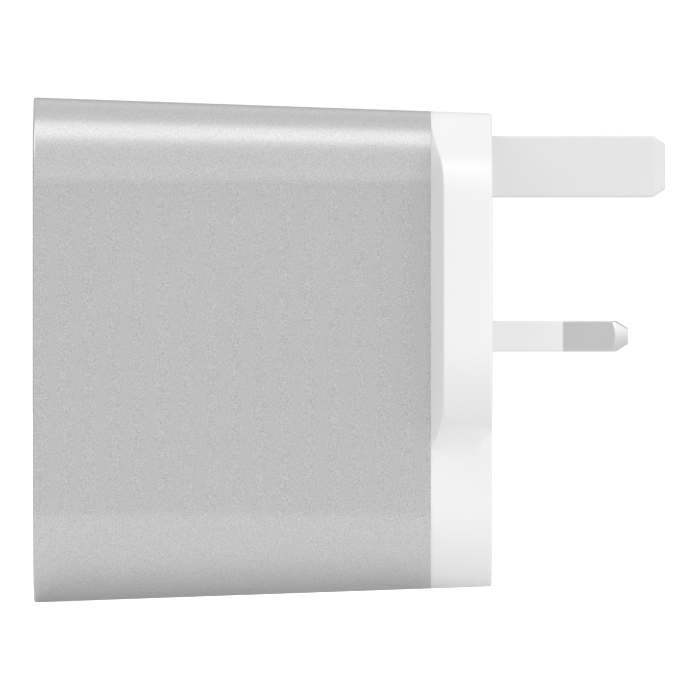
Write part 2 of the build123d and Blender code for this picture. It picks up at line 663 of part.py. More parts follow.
parts["bulk_capacitors"] = make_bulk_capacitors()
parts["capacitor_seals"] = make_capacitor_seals()
parts["input_fuse"] = fillet(on_board(7.5, (-17.2, -13.2), (13.6, 21.8)).edges(), 0.4)
parts["inrush_thermistor"] = disc_on_board(3.8, 1.4, (-16.6, -13.8), 8.4)
parts["filter_capacitor"] = fillet(on_board(11.0, (-19.2, -13.2), (-25.6, -17.2)).edges(), 0.3)
parts["safety_capacitor"] = disc_on_board(3.5, 1.2, (-23.9, -21.1), -20.0)
parts["bridge_rectifier"] = on_board(2.4, (-24.0, -20.8), (-12.0, -6.0))
parts["optocoupler"] = on_board(2.2, (-43.3, -40.3), (-2.6, 1.6))
parts["switching_controller"] = on_board(1.6, (-43.4, -40.2), (-8.4, -3.8))
parts["switching_transistor"] = on_board(2.3, (-43.4, -40.2), (-16.4, -9.8))
parts["synchronous_rectifier"] = on_board(1.2, (-43.4, -40.2), (-23.8, -18.4))

CHOKE_X = BOARD_TOP_X + 7.0
CHOKE_Y = -17.0
CHOKE_Z = -9.6
CHOKE_OUTER = 6.0
CHOKE_INNER = 3.2
CHOKE_THICK = 5.0
CHOKE_WIRE = 0.7
TURNS_PER_SIDE = 7
TURN_STEP_DEG = 19.0


def make_choke_core():
    limits = (CHOKE_Y - CHOKE_THICK / 2, CHOKE_Y + CHOKE_THICK / 2)
    return rod(CHOKE_X, CHOKE_Z, CHOKE_OUTER, limits) - rod(CHOKE_X, CHOKE_Z, CHOKE_INNER, limits)


def make_choke_windings():
    half_wire = CHOKE_WIRE / 2
    inner_half = CHOKE_THICK / 2
    outer_half = inner_half + CHOKE_WIRE
    turn = block((CHOKE_INNER - CHOKE_WIRE, CHOKE_OUTER + CHOKE_WIRE), (-outer_half, outer_half),
                 (-half_wire, half_wire))
    turn -= block((CHOKE_INNER - 0.03, CHOKE_OUTER + 0.03), (-inner_half, inner_half), (-1, 1))
    turns = []
    for start_deg in (33.0, 213.0):
        for number in range(TURNS_PER_SIDE):
            angle = start_deg + number * TURN_STEP_DEG
            turns.append(Pos(CHOKE_X, CHOKE_Y, CHOKE_Z) * Rot(0, angle, 0) * turn)
    return Compound(children=turns)


parts["choke_core"] = make_choke_core()
parts["choke_windings"] = make_choke_windings()


# ---------------------------------------------------------------- heat path
# A soft pad on the transformer and an aluminium sheet along the right-hand wall.
PAD_LOW_X = CORE_LOW_X + CORE_HEIGHT
SPREADER_X = PAD_LOW_X + PAD_THICK
pad_y = (CORE_MID_Y - CORE_THICK / 2, CORE_MID_Y + CORE_THICK / 2)
parts["thermal_pad"] = block((PAD_LOW_X, SPREADER_X), pad_y, (CORE_LOW_Z + 1, CORE_HIGH_Z - 1))
spreader_z = (BODY_MID_Z - 19, BODY_MID_Z + 19)
parts["heat_spreader"] = block((SPREADER_X, SPREADER_X + SPREADER_THICK), (-43.9, -15.0), spreader_z)


# ---------------------------------------------------------------- USB board
# Small upright board that carries both sockets and the output parts.
USB_BOARD_REAR_Y = USB_BOARD_FRONT_Y + BOARD_THICK


def make_usb_board():
    width = 2 * USB_BOARD_HALF_WIDTH
    height = 2 * USB_BOARD_HALF_HEIGHT
    limits = (USB_BOARD_FRONT_Y, USB_BOARD_REAR_Y)
    return rounded_bar(width, height, 1.5, 0, BODY_MID_Z, limits)


def on_usb_board(height, x_limits, z_limits):
    """A block standing on the front of the USB board."""
    return block(x_limits, (USB_BOARD_FRONT_Y - height, USB_BOARD_FRONT_Y), z_limits)


def make_output_capacitors():
    limits = (USB_BOARD_FRONT_Y - 8.0, USB_BOARD_FRONT_Y)
    cans = [rod(x, 15.4, 3.15, limits) for x in (-4.0, 4.0)]
    return Compound(children=[fillet(can.edges().sort_by(Axis.Y)[0], 0.5) for can in cans])


def make_chip_parts():
    chips = []
    for row in range(4):
        for column in range(2):
            low_x = -10.4 + 2.6 * column
            low_z = -6.2 + 2.2 * row
            chips.append(on_usb_board(0.6, (low_x, low_x + 1.6), (low_z, low_z + 0.8)))
    return Compound(children=chips)


parts["usb_board"] = make_usb_board()
parts["output_capacitors"] = make_output_capacitors()
parts["output_inductor"] = fillet(on_usb_board(3.0, (-3.2, 3.2), (-24.2, -17.8)).edges(), 0.4)
parts["usb_controller"] = on_usb_board(0.9, (5.6, 10.6), (-4.0, 1.0))
parts["chip_parts"] = make_chip_parts()

# Header that joins the two boards at a right angle.
HEADER_PITCH = 2.54
HEADER_LOW_Z = 3.0
HEADER_COUNT = 5
HEADER_PIN = 0.64


def make_header_pins():
    pins = []
    for number in range(HEADER_COUNT):
        z = HEADER_LOW_Z + HEADER_PITCH * (number + 0.5)
        z_limits = (z - HEADER_PIN / 2, z + HEADER_PIN / 2)
        top_x = BOARD_TOP_X + 1.6
        leg_y = (-43.7, -43.7 + HEADER_PIN)
        leg = block((BOARD_TOP_X, top_x), leg_y, z_limits)
        arm = block((top_x - HEADER_PIN, top_x), (USB_BOARD_REAR_Y, leg_y[1]), z_limits)
        pins.append(leg + arm)
    return Compound(children=pins)


def make_board_header():
    length = HEADER_PITCH * HEADER_COUNT
    body = on_board(2.5, (USB_BOARD_REAR_Y, -42.1), (HEADER_LOW_Z, HEADER_LOW_Z + length))
    return body - parts["header_pins"]


parts["header_pins"] = make_header_pins()
parts["board_header"] = make_board_header()


# ---------------------------------------------------------------- USB-A socket
# Folded steel shell round a plastic tongue with four contacts under it.
A_BASE_LENGTH = 2.4
A_TONGUE_Z = USB_A_Z + USB_A_TONGUE_RISE
A_CONTACT_X = (-3.5, -1.0, 1.0, 3.5)


def make_usb_a_shell():
    limits = (SOCKET_MOUTH_Y, USB_BOARD_FRONT_Y)
    wall = 2 * SOCKET_WALL
    shell = usb_a_bar(USB_A_WIDTH + wall, USB_A_HEIGHT + wall, 0.6, limits)
    return shell - usb_a_bar(USB_A_WIDTH, USB_A_HEIGHT, 0.3, (limits[0] - 1, limits[1] + 1))


def make_usb_a_tongue():
    base_front_y = USB_BOARD_FRONT_Y - A_BASE_LENGTH
    gap = 2 * FIT_GAP
    base = usb_a_bar(USB_A_WIDTH - gap, USB_A_HEIGHT - gap, 0.25, (base_front_y, USB_BOARD_FRONT_Y))
    half_width = USB_A_TONGUE_WIDTH / 2
    z_limits = (A_TONGUE_Z - USB_A_TONGUE_HEIGHT / 2, A_TONGUE_Z + USB_A_TONGUE_HEIGHT / 2)
    tongue = block((-half_width, half_width), (SOCKET_MOUTH_Y + 0.5, base_front_y), z_limits)
    return base + tongue


def make_usb_a_contacts():
    top_z = A_TONGUE_Z - USB_A_TONGUE_HEIGHT / 2
    y_limits = (SOCKET_MOUTH_Y + 1.6, USB_BOARD_FRONT_Y - A_BASE_LENGTH)
    z_limits = (top_z - 0.15, top_z)
    strips = [block((x - 0.5, x + 0.5), y_limits, z_limits) for x in A_CONTACT_X]
    return Compound(children=strips)


parts["usb_a_shell"] = make_usb_a_shell()
parts["usb_a_tongue"] = make_usb_a_tongue()
parts["usb_a_contacts"] = make_usb_a_contacts()


# ---------------------------------------------------------------- USB-C socket
# Drawn steel shell round a thin tongue with contacts on both faces.
C_BASE_FRONT_Y = -52.6
C_CONTACT_PITCH = 0.5
C_CONTACT_COUNT = 12


def make_usb_c_shell():
    limits = (SOCKET_MOUTH_Y, USB_BOARD_FRONT_Y)
    wall = 2 * SOCKET_WALL
    shell = usb_c_bar(USB_C_WIDTH + wall, USB_C_HEIGHT + wall, limits)
    return shell - usb_c_bar(USB_C_WIDTH, USB_C_HEIGHT, (limits[0] - 1, limits[1] + 1))


def make_usb_c_tongue():
    gap = 2 * FIT_GAP
    limits = (C_BASE_FRONT_Y, USB_BOARD_FRONT_Y)
    base = usb_c_bar(USB_C_WIDTH - gap, USB_C_HEIGHT - gap, limits)
    half_width = USB_C_TONGUE_WIDTH / 2
    half_height = USB_C_TONGUE_HEIGHT / 2
    z_limits = (USB_C_Z - half_height, USB_C_Z + half_height)
    return base + block((-half_width, half_width), (SOCKET_MOUTH_Y + 0.6, C_BASE_FRONT_Y), z_limits)


def make_usb_c_contacts():
    half_height = USB_C_TONGUE_HEIGHT / 2
    y_limits = (SOCKET_MOUTH_Y + 1.2, C_BASE_FRONT_Y)
    strips = []
    for number in range(C_CONTACT_COUNT):
        x = (number - (C_CONTACT_COUNT - 1) / 2) * C_CONTACT_PITCH
        x_limits = (x - 0.13, x + 0.13)
        strips.append(block(x_limits, y_limits, (USB_C_Z + half_height, USB_C_Z + half_height + 0.08)))
        strips.append(block(x_limits, y_limits, (USB_C_Z - half_height - 0.08, USB_C_Z - half_height)))
    return Compound(children=strips)


parts["usb_c_shell"] = make_usb_c_shell()
parts["usb_c_tongue"] = make_usb_c_tongue()
parts["usb_c_contacts"] = make_usb_c_contacts()


# ---------------------------------------------------------------- saving
for node_name, solid in parts.items():
    export_step(solid, f"parts/{node_name}.step")
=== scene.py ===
import math

import bmesh
import bpy
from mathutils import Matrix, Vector


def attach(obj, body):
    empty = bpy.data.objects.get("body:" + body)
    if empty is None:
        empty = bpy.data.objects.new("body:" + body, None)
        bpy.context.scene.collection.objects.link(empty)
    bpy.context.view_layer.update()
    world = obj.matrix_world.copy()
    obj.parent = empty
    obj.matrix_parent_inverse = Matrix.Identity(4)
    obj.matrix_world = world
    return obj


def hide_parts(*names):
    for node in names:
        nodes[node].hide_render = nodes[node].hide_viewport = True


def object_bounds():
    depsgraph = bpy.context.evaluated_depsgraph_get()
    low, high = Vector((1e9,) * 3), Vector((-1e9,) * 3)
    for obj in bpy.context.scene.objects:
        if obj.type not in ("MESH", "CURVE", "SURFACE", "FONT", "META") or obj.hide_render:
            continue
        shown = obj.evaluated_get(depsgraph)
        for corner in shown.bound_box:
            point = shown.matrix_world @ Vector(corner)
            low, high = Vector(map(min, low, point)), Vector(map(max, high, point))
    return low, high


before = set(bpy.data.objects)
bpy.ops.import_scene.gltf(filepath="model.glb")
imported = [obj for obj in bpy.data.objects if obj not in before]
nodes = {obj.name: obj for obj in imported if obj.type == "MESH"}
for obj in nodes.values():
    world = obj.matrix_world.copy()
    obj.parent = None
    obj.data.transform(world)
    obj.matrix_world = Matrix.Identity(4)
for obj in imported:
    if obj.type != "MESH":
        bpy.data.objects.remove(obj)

cad_low, cad_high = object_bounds()
scene = bpy.context.scene
MM = 0.001

# ---- Camera
# A long lens square on to the right-hand side of the charger, so the taper and
# the pins read as a side elevation with almost no perspective.
camera_data = bpy.data.cameras.new("camera")
camera = bpy.data.objects.new("camera", camera_data)
scene.collection.objects.link(camera)
scene.camera = camera
camera_data.lens = 1200
camera_data.sensor_width = 36
camera_data.clip_start = 0.1
camera_data.clip_end = 100
VIEW_WIDTH = 91.5
VIEW_MID_Y = -18.55
VIEW_MID_Z = -1.8
FOCUS_X = 8.0
camera_away = VIEW_WIDTH * camera_data.lens / camera_data.sensor_width
camera.location = ((FOCUS_X + camera_away) * MM, VIEW_MID_Y * MM, VIEW_MID_Z * MM)
camera.rotation_euler = (math.radians(90), 0, math.radians(90))

# ---- Studio
# White paper floor in a white room: soft light bands run overhead along the
# charger, with broad soft panels all round it.
scene.view_settings.view_transform = "Standard"
scene.view_settings.look = "None"

room = bpy.data.worlds.new("white_room")
scene.world = room
room.use_nodes = True
room_tree = room.node_tree
room_tree.nodes.clear()


def room_math(operation, first, second=0.0):
    """Math node in the room's own tree; inputs are sockets or plain numbers."""
    node = room_tree.nodes.new("ShaderNodeMath")
    node.operation = operation
    for socket, value in zip(node.inputs, (first, second)):
        if isinstance(value, (int, float)):
            socket.default_value = value
        else:
            room_tree.links.new(value, socket)
    return node.outputs["Value"]


look = room_tree.nodes.new("ShaderNodeTexCoord").outputs["Generated"]
look_parts = room_tree.nodes.new("ShaderNodeSeparateXYZ")
room_tree.links.new(look, look_parts.inputs["Vector"])
rise = room_math("ARCTAN2", look_parts.outputs["Z"], look_parts.outputs["X"])
along_square = room_math("MULTIPLY", look_parts.outputs["Y"], look_parts.outputs["Y"])
along_fade = room_math("MAXIMUM", room_math("SUBTRACT", 1.0, room_math("MULTIPLY", along_square, 1.6)), 0.0)


def soft_panel(direction, tightness, strength):
    """Round soft light far away in one direction."""
    facing = room_tree.nodes.new("ShaderNodeVectorMath")
    facing.operation = "DOT_PRODUCT"
    room_tree.links.new(look, facing.inputs[0])
    facing.inputs[1].default_value = Vector(direction).normalized()
    bright = room_math("POWER", room_math("MAXIMUM", facing.outputs["Value"], 0.0), tightness)
    return room_math("MULTIPLY", bright, strength)


def light_band(angle, spread, strength):
    """Soft band overhead, parallel to the charger, at angle above the right-hand side."""
    off = room_math("DIVIDE", room_math("SUBTRACT", rise, math.radians(angle)), math.radians(spread))
    bell = room_math("EXPONENT", room_math("MULTIPLY", room_math("MULTIPLY", off, off), -0.5))
    return room_math("MULTIPLY", room_math("MULTIPLY", bell, along_fade), strength)


lights = [
    light_band(75, 3, 0.8),
    light_band(90, 4, 0.75),
    light_band(82, 11, 0.8),
    light_band(110, 10, 0.6),
    light_band(140, 15, 0.75),
    soft_panel((0.5, -0.85, 0.17), 6, 0.3),
    soft_panel((0.85, -0.5, 0.17), 20, 0.85),
    soft_panel((0.64, 0.72, 0.36), 6, 2.1),
    soft_panel((0.64, 0.45, 0.62), 20, 0.5),
    soft_panel((0.4, -0.5, 0.77), 10, 1.9),
    soft_panel((0.9, 0.0, 0.25), 30, 0.45),
    soft_panel((-0.8, -0.6, 0.12), 8, 0.5),
    soft_panel((-0.8, 0.6, 0.12), 8, 0.55),
]
room_level = lights[0]
for light in lights[1:]:
    room_level = room_math("ADD", room_level, light)
room_out = room_tree.nodes.new("ShaderNodeOutputWorld")
room_seen = room_tree.nodes.new("ShaderNodeBackground")
room_seen.inputs["Color"].default_value = (1, 1, 1, 1)
room_seen.inputs["Strength"].default_value = 1.05
room_glow = room_tree.nodes.new("ShaderNodeBackground")
room_glow.inputs["Color"].default_value = (1, 1, 1, 1)
room_tree.links.new(room_level, room_glow.inputs["Strength"])
room_mix = room_tree.nodes.new("ShaderNodeMixShader")
room_path = room_tree.nodes.new("ShaderNodeLightPath")
room_tree.links.new(room_path.outputs["Is Camera Ray"], room_mix.inputs["Fac"])
room_tree.links.new(room_glow.outputs["Background"], room_mix.inputs[1])
room_tree.links.new(room_seen.outputs["Background"], room_mix.inputs[2])
room_tree.links.new(room_mix.outputs["Shader"], room_out.inputs["Surface"])

FLOOR_REACH = 9.0
floor_mesh = bpy.data.meshes.new("floor")
floor_corners = [
    (sign_x * FLOOR_REACH, sign_y * FLOOR_REACH, cad_low.z)
    for sign_x, sign_y in ((-1, -1), (1, -1), (1, 1), (-1, 1))
]
floor_mesh.from_pydata(floor_corners, [], [(0, 1, 2, 3)])
floor = bpy.data.objects.new("floor", floor_mesh)
scene.collection.objects.link(floor)
floor_paper = bpy.data.materials.new("white_paper")
floor_paper.use_nodes = True
paper_nodes = floor_paper.node_tree.nodes
paper_links = floor_paper.node_tree.links
paper_nodes.clear()
paper_out = paper_nodes.new("ShaderNodeOutputMaterial")
paper_sum = paper_nodes.new("ShaderNodeAddShader")
paper_glow = paper_nodes.new("ShaderNodeEmission")
paper_matt = paper_nodes.new("ShaderNodeBsdfDiffuse")
paper_path = paper_nodes.new("ShaderNodeLightPath")
paper_seen = paper_nodes.new("ShaderNodeMath")
paper_seen.operation = "MULTIPLY_ADD"
paper_seen.inputs[1].default_value = 0.8
paper_seen.inputs[2].default_value = 0.28
paper_matt.inputs["Color"].default_value = (0.6, 0.6, 0.6, 1)
paper_links.new(paper_path.outputs["Is Camera Ray"], paper_seen.inputs[0])
paper_links.new(paper_seen.outputs["Value"], paper_glow.inputs["Strength"])
paper_links.new(paper_glow.outputs["Emission"], paper_sum.inputs[0])
paper_links.new(paper_matt.outputs["BSDF"], paper_sum.inputs[1])
paper_links.new(paper_sum.outputs["Shader"], paper_out.inputs["Surface"])
floor_mesh.materials.append(floor_paper)

# ---- Body sleeve
# A tapered tube moulded in polycarbonate and sprayed with a fine silver paint.
# It butts against the plug base, where the real one is welded on.
BODY_DEPTH = 59.9
BASE_DEPTH = 8.0
BODY_MID_Z = -1.8
FACE_HALF_WIDTH = 15.0
FACE_HALF_HEIGHT = 30.95
FACE_CORNER = 10.0
DRAFT = math.tan(math.radians(2.0))
CORNER_STEPS = 28


def body_outline(y, inset=0.0):
    """Points round the drafted body at depth y, in mm, anticlockwise seen from the pins."""
    grow = -y * DRAFT - inset
    half_x = FACE_HALF_WIDTH + grow
    half_z = FACE_HALF_HEIGHT + grow
    radius = FACE_CORNER + grow
    points = []
    corners = ((1, 1, 0), (-1, 1, 90), (-1, -1, 180), (1, -1, 270))
    for sign_x, sign_z, start in corners:
        centre_x = sign_x * (half_x - radius)
        centre_z = sign_z * (half_z - radius)
        for step in range(CORNER_STEPS + 1):
            angle = math.radians(start + 90 * step / CORNER_STEPS)
            x = centre_x + radius * math.cos(angle)
            z = centre_z + radius * math.sin(angle)
            points.append(Vector((x, y, z + BODY_MID_Z)))
        ahead_x, ahead_z = corners[(corners.index((sign_x, sign_z, start)) + 1) % 4][:2]
        last = points[-1]
        next_angle = math.radians(start + 90)
        ahead = Vector((
            ahead_x * (half_x - radius) + radius * math.cos(next_angle),
            y,
            ahead_z * (half_z - radius) + radius * math.sin(next_angle) + BODY_MID_Z,
        ))
        for step in range(1, 8):
            points.append(last.lerp(ahead, step / 8))
    return points


SHARP_FROM = 50


def make_piece(name, mesh):
    """Turns finished mesh data, in mm, into a smooth-shaded piece in metres."""
    for vertex in mesh.verts:
        vertex.co *= MM
    bmesh.ops.recalc_face_normals(mesh, faces=mesh.faces)
    data = bpy.data.meshes.new(name)
    mesh.to_mesh(data)
    mesh.free()
    for face in data.polygons:
        face.use_smooth = True
    data.set_sharp_from_angle(angle=math.radians(SHARP_FROM))
    piece = bpy.data.objects.new(name, data)
    scene.collection.objects.link(piece)
    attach(piece, "root")
    return piece


def skin(rings, closed):
    """Quads between rings of points; closed also joins the last ring to the first."""
    mesh = bmesh.new()
    rows = [[mesh.verts.new(point) for point in ring] for ring in rings]
    pairs = list(zip(rows, rows[1:]))
    if closed:
        pairs.append((rows[-1], rows[0]))
    for row, after in pairs:
        count = len(row)
        for index in range(count):
            follow = (index + 1) % count
            mesh.faces.new((row[index], row[follow], after[follow], after[index]))
    if not closed:
        mesh.faces.new(list(reversed(rows[0])))
        mesh.faces.new(rows[-1])
    return mesh


def keep_flats(piece):
    """Weights the shading to the large faces, so flats stay flat up to their rounded edges."""
    weigh = piece.modifiers.new("even_shading", "WEIGHTED_NORMAL")
    weigh.weight = 60
    weigh.keep_sharp = True


SLEEVE_WALL = 1.8
FRONT_ROUND = 0.3
sleeve_rings = [body_outline(-BASE_DEPTH, 0.01), body_outline(-BASE_DEPTH - 0.02)]
for step in range(1, 12):
    sleeve_rings.append(body_outline(-BASE_DEPTH - (BODY_DEPTH - FRONT_ROUND - BASE_DEPTH) * step / 12))
for step in range(7):
    turn = math.radians(90 * step / 6)
    y = -BODY_DEPTH + FRONT_ROUND * (1 - math.sin(turn))
    sleeve_rings.append(body_outline(y, FRONT_ROUND * (1 - math.cos(turn))))
for step in range(5):
    turn = math.radians(90 * step / 4)
    y = -BODY_DEPTH + 0.15 * (1 - math.cos(turn))
    sleeve_rings.append(body_outline(y, SLEEVE_WALL - 0.15 + 0.15 * math.sin(turn)))
for y in (-56, -40, -24, -BASE_DEPTH):
    sleeve_rings.append(body_outline(y, SLEEVE_WALL))
sleeve = make_piece("sleeve_shell", skin(sleeve_rings, closed=True))
keep_flats(sleeve)


def new_group(name, inputs, outputs):
    """Empty shader node group with named sockets."""
    group = bpy.data.node_groups.new(name, "ShaderNodeTree")
    for label, value in inputs:
        socket = group.interface.new_socket(label, in_out="INPUT", socket_type="NodeSocketFloat")
        socket.default_value = value
    for label, kind in outputs:
        group.interface.new_socket(label, in_out="OUTPUT", socket_type=kind)
    start = group.nodes.new("NodeGroupInput")
    end = group.nodes.new("NodeGroupOutput")
    return group, start, end


def add_math(tree, operation, first, second):
    """Math node whose two inputs are sockets or plain numbers."""
    node = tree.nodes.new("ShaderNodeMath")
    node.operation = operation
    for socket, value in zip(node.inputs, (first, second)):
        if isinstance(value, (int, float)):
            socket.default_value = value
        else:
            tree.links.new(value, socket)
    return node.outputs["Value"]


def add_noise(tree, scale, detail, place):
    noise = tree.nodes.new("ShaderNodeTexNoise")
    noise.inputs["Detail"].default_value = detail
    noise.inputs["Roughness"].default_value = 0.6
    tree.links.new(place, noise.inputs["Vector"])
    if isinstance(scale, (int, float)):
        noise.inputs["Scale"].default_value = scale
    else:
        tree.links.new(scale, noise.inputs["Scale"])
    return noise.outputs["Fac"]


# Fine even speckle of a sprayed or moulded surface: tint round 1, a height and a roughness shift.
grain_group, grain_in, grain_out = new_group(
    "surface_grain",
    [("Scale", 4000.0), ("Tint Depth", 0.05), ("Gloss Depth", 0.05)],
    [("Tint", "NodeSocketFloat"), ("Gloss", "NodeSocketFloat"), ("Height", "NodeSocketFloat")],
)
grain_place = grain_group.nodes.new("ShaderNodeTexCoord").outputs["Object"]
grain_fine = add_noise(grain_group, grain_in.outputs["Scale"], 2.0, grain_place)
grain_broad = add_noise(grain_group, 60.0, 3.0, grain_place)
centred = add_math(grain_group, "SUBTRACT", grain_fine, 0.5)
spread = add_math(grain_group, "MULTIPLY", centred, grain_in.outputs["Tint Depth"])
broad_centred = add_math(grain_group, "SUBTRACT", grain_broad, 0.5)
broad_spread = add_math(grain_group, "MULTIPLY", broad_centred, 0.012)
tint = add_math(grain_group, "ADD", spread, broad_spread)
grain_group.links.new(add_math(grain_group, "ADD", tint, 1.0), grain_out.inputs["Tint"])
gloss = add_math(grain_group, "MULTIPLY", broad_centred, grain_in.outputs["Gloss Depth"])
grain_group.links.new(gloss, grain_out.inputs["Gloss"])
grain_group.links.new(grain_fine, grain_out.inputs["Height"])

# Rubbed edges: 1 where the surface is convex and handled, 0 elsewhere.
wear_group, wear_in, wear_out = new_group(
    "edge_rub", [("Amount", 0.3)], [("Mask", "NodeSocketFloat")]
)
wear_point = wear_group.nodes.new("ShaderNodeNewGeometry").outputs["Pointiness"]
wear_place = wear_group.nodes.new("ShaderNodeTexCoord").outputs["Object"]
wear_break = add_noise(wear_group, 900.0, 3.0, wear_place)
wear_rise = add_math(wear_group, "SUBTRACT", wear_point, 0.53)
wear_sharp = add_math(wear_group, "MULTIPLY", wear_rise, 9.0)
wear_broken = add_math(wear_group, "MULTIPLY", wear_sharp, wear_break)
wear_scaled = wear_group.nodes.new("ShaderNodeMath")
wear_scaled.operation = "MULTIPLY"
wear_scaled.use_clamp = True
wear_group.links.new(wear_broken, wear_scaled.inputs[0])
wear_group.links.new(wear_in.outputs["Amount"], wear_scaled.inputs[1])
wear_group.links.new(wear_scaled.outputs["Value"], wear_out.inputs["Mask"])


def finish_for(name, colour, roughness, metallic=0.0, grain=4000.0, tint=0.05, gloss=0.1,
               bump=0.1, wear=0.2, worn=(0.9, 0.9, 0.9), coat=0.0, specular=0.5):
    """Material with grain, roughness drift, bump and rubbed edges round one base colour."""
    material = bpy.data.materials.new(name)
    material.use_nodes = True
    tree = material.node_tree
    shader = tree.nodes["Principled BSDF"]
    shader.inputs["Metallic"].default_value = metallic
    shader.inputs["Coat Weight"].default_value = coat
    shader.inputs["Specular IOR Level"].default_value = specular
    speckle = tree.nodes.new("ShaderNodeGroup")
    speckle.node_tree = grain_group
    speckle.inputs["Scale"].default_value = grain
    speckle.inputs["Tint Depth"].default_value = tint
    speckle.inputs["Gloss Depth"].default_value = gloss
    rub = tree.nodes.new("ShaderNodeGroup")
    rub.node_tree = wear_group
    rub.inputs["Amount"].default_value = wear
    shade = tree.nodes.new("ShaderNodeMix")
    shade.data_type = "RGBA"
    shade.blend_type = "MULTIPLY"
    shade.inputs["Factor"].default_value = 1.0
    shade.inputs[6].default_value = (*colour, 1)
    tree.links.new(speckle.outputs["Tint"], shade.inputs[7])
    edges = tree.nodes.new("ShaderNodeMix")
    edges.data_type = "RGBA"
    tree.links.new(rub.outputs["Mask"], edges.inputs["Factor"])
    tree.links.new(shade.outputs[2], edges.inputs[6])
    edges.inputs[7].default_value = (*worn, 1)
    tree.links.new(edges.outputs[2], shader.inputs["Base Color"])
    rough = add_math(tree, "ADD", speckle.outputs["Gloss"], roughness)
    tree.links.new(rough, shader.inputs["Roughness"])
    relief = tree.nodes.new("ShaderNodeBump")
    relief.inputs["Strength"].default_value = bump
    relief.inputs["Distance"].default_value = 0.00002
    tree.links.new(speckle.outputs["Height"], relief.inputs["Height"])
    tree.links.new(relief.outputs["Normal"], shader.inputs["Normal"])
    return material


def dress(piece, material):
    """Gives every slot of a piece the one material."""
    if not piece.data.materials:
        piece.data.materials.append(material)
    for place in range(len(piece.material_slots)):
        piece.material_slots[place].material = material


silver_paint = finish_for(
    "silver_paint", (0.66, 0.66, 0.664), 0.29, metallic=0.75, grain=9000, tint=1.4, gloss=0.03,
    bump=0.1, wear=0.25, worn=(0.75, 0.75, 0.76),
)
dress(sleeve, silver_paint)
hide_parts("sleeve")

# ---- Plug base with wings
# White polycarbonate end cap with a flat face for the wall socket. The wings on
# both sides are part of the same moulding and run out into the sleeve edge.
WING_HALF_WIDTH = 24.2
WING_FRONT_Y = -6.4
WING_SIDE_TOP_Z = 17.85
WING_SIDE_LOW_Z = -1.8
WING_ARC = 10.5
WING_STEP_Z = -11.6
WING_FOOT = (15.05, -14.5)
WING_CROWN = 0.5
CROWN_FROM_X = 20.5
SLOPE_REACH = 8.92
SLOPE_END_X = 20.2
SLOPE_FALL = 0.404
SHOULDER_PULL = (22.9, 1.15)
SHOULDER_REST_Z = 21.2
FOOT_DROP = 4.0
FOOT_ROUND = 1.6
GUSSET_FADE = 4.5
STAND_FADE = 1.5
FACE_ROUND = 0.3
WING_EDGE_ROUND = 0.3
SEAM_ROUND = 0.015
GUSSET_END_Y = -1.45
GUSSET_LIFT = 2.75
SIDE_ROWS = (-4.8, -3.4, -2.2, -1.45, -1.1, -0.75, -0.5, -FACE_ROUND)


def arc_points(centre, radius, start, end, count):
    """Points on a circle in X and Z, from one angle to another in degrees."""
    points = []
    for step in range(count + 1):
        angle = math.radians(start + (end - start) * step / count)
        points.append((centre[0] + radius * math.cos(angle), centre[1] + radius * math.sin(angle)))
    return points


def bent(start, corner, end, reach, count):
    """Short curve that rounds the corner between two straight runs."""
    a = Vector(start) - Vector(corner)
    b = Vector(end) - Vector(corner)
    first = Vector(corner) + a.normalized() * min(reach, a.length * 0.45)
    last = Vector(corner) + b.normalized() * min(reach, b.length * 0.45)
    points = []
    for step in range(count + 1):
        t = step / count
        points.append(tuple(first * (1 - t) ** 2 + Vector(corner) * 2 * t * (1 - t) + last * t ** 2))
    return points


def straight(start, end, count):
    """Points between two ends, leaving both ends out."""
    return [tuple(Vector(start).lerp(Vector(end), step / count)) for step in range(1, count)]


def cubic(p0, p1, p2, p3, count):
    """Smooth curve from p0 to p3 that leaves towards p1 and arrives from p2."""
    points = []
    for step in range(count + 1):
        t = step / count
        s = 1 - t
        point = Vector(p0) * s ** 3 + Vector(p1) * 3 * s * s * t
        point += Vector(p2) * 3 * s * t * t + Vector(p3) * t ** 3
        points.append(tuple(point))
    return points


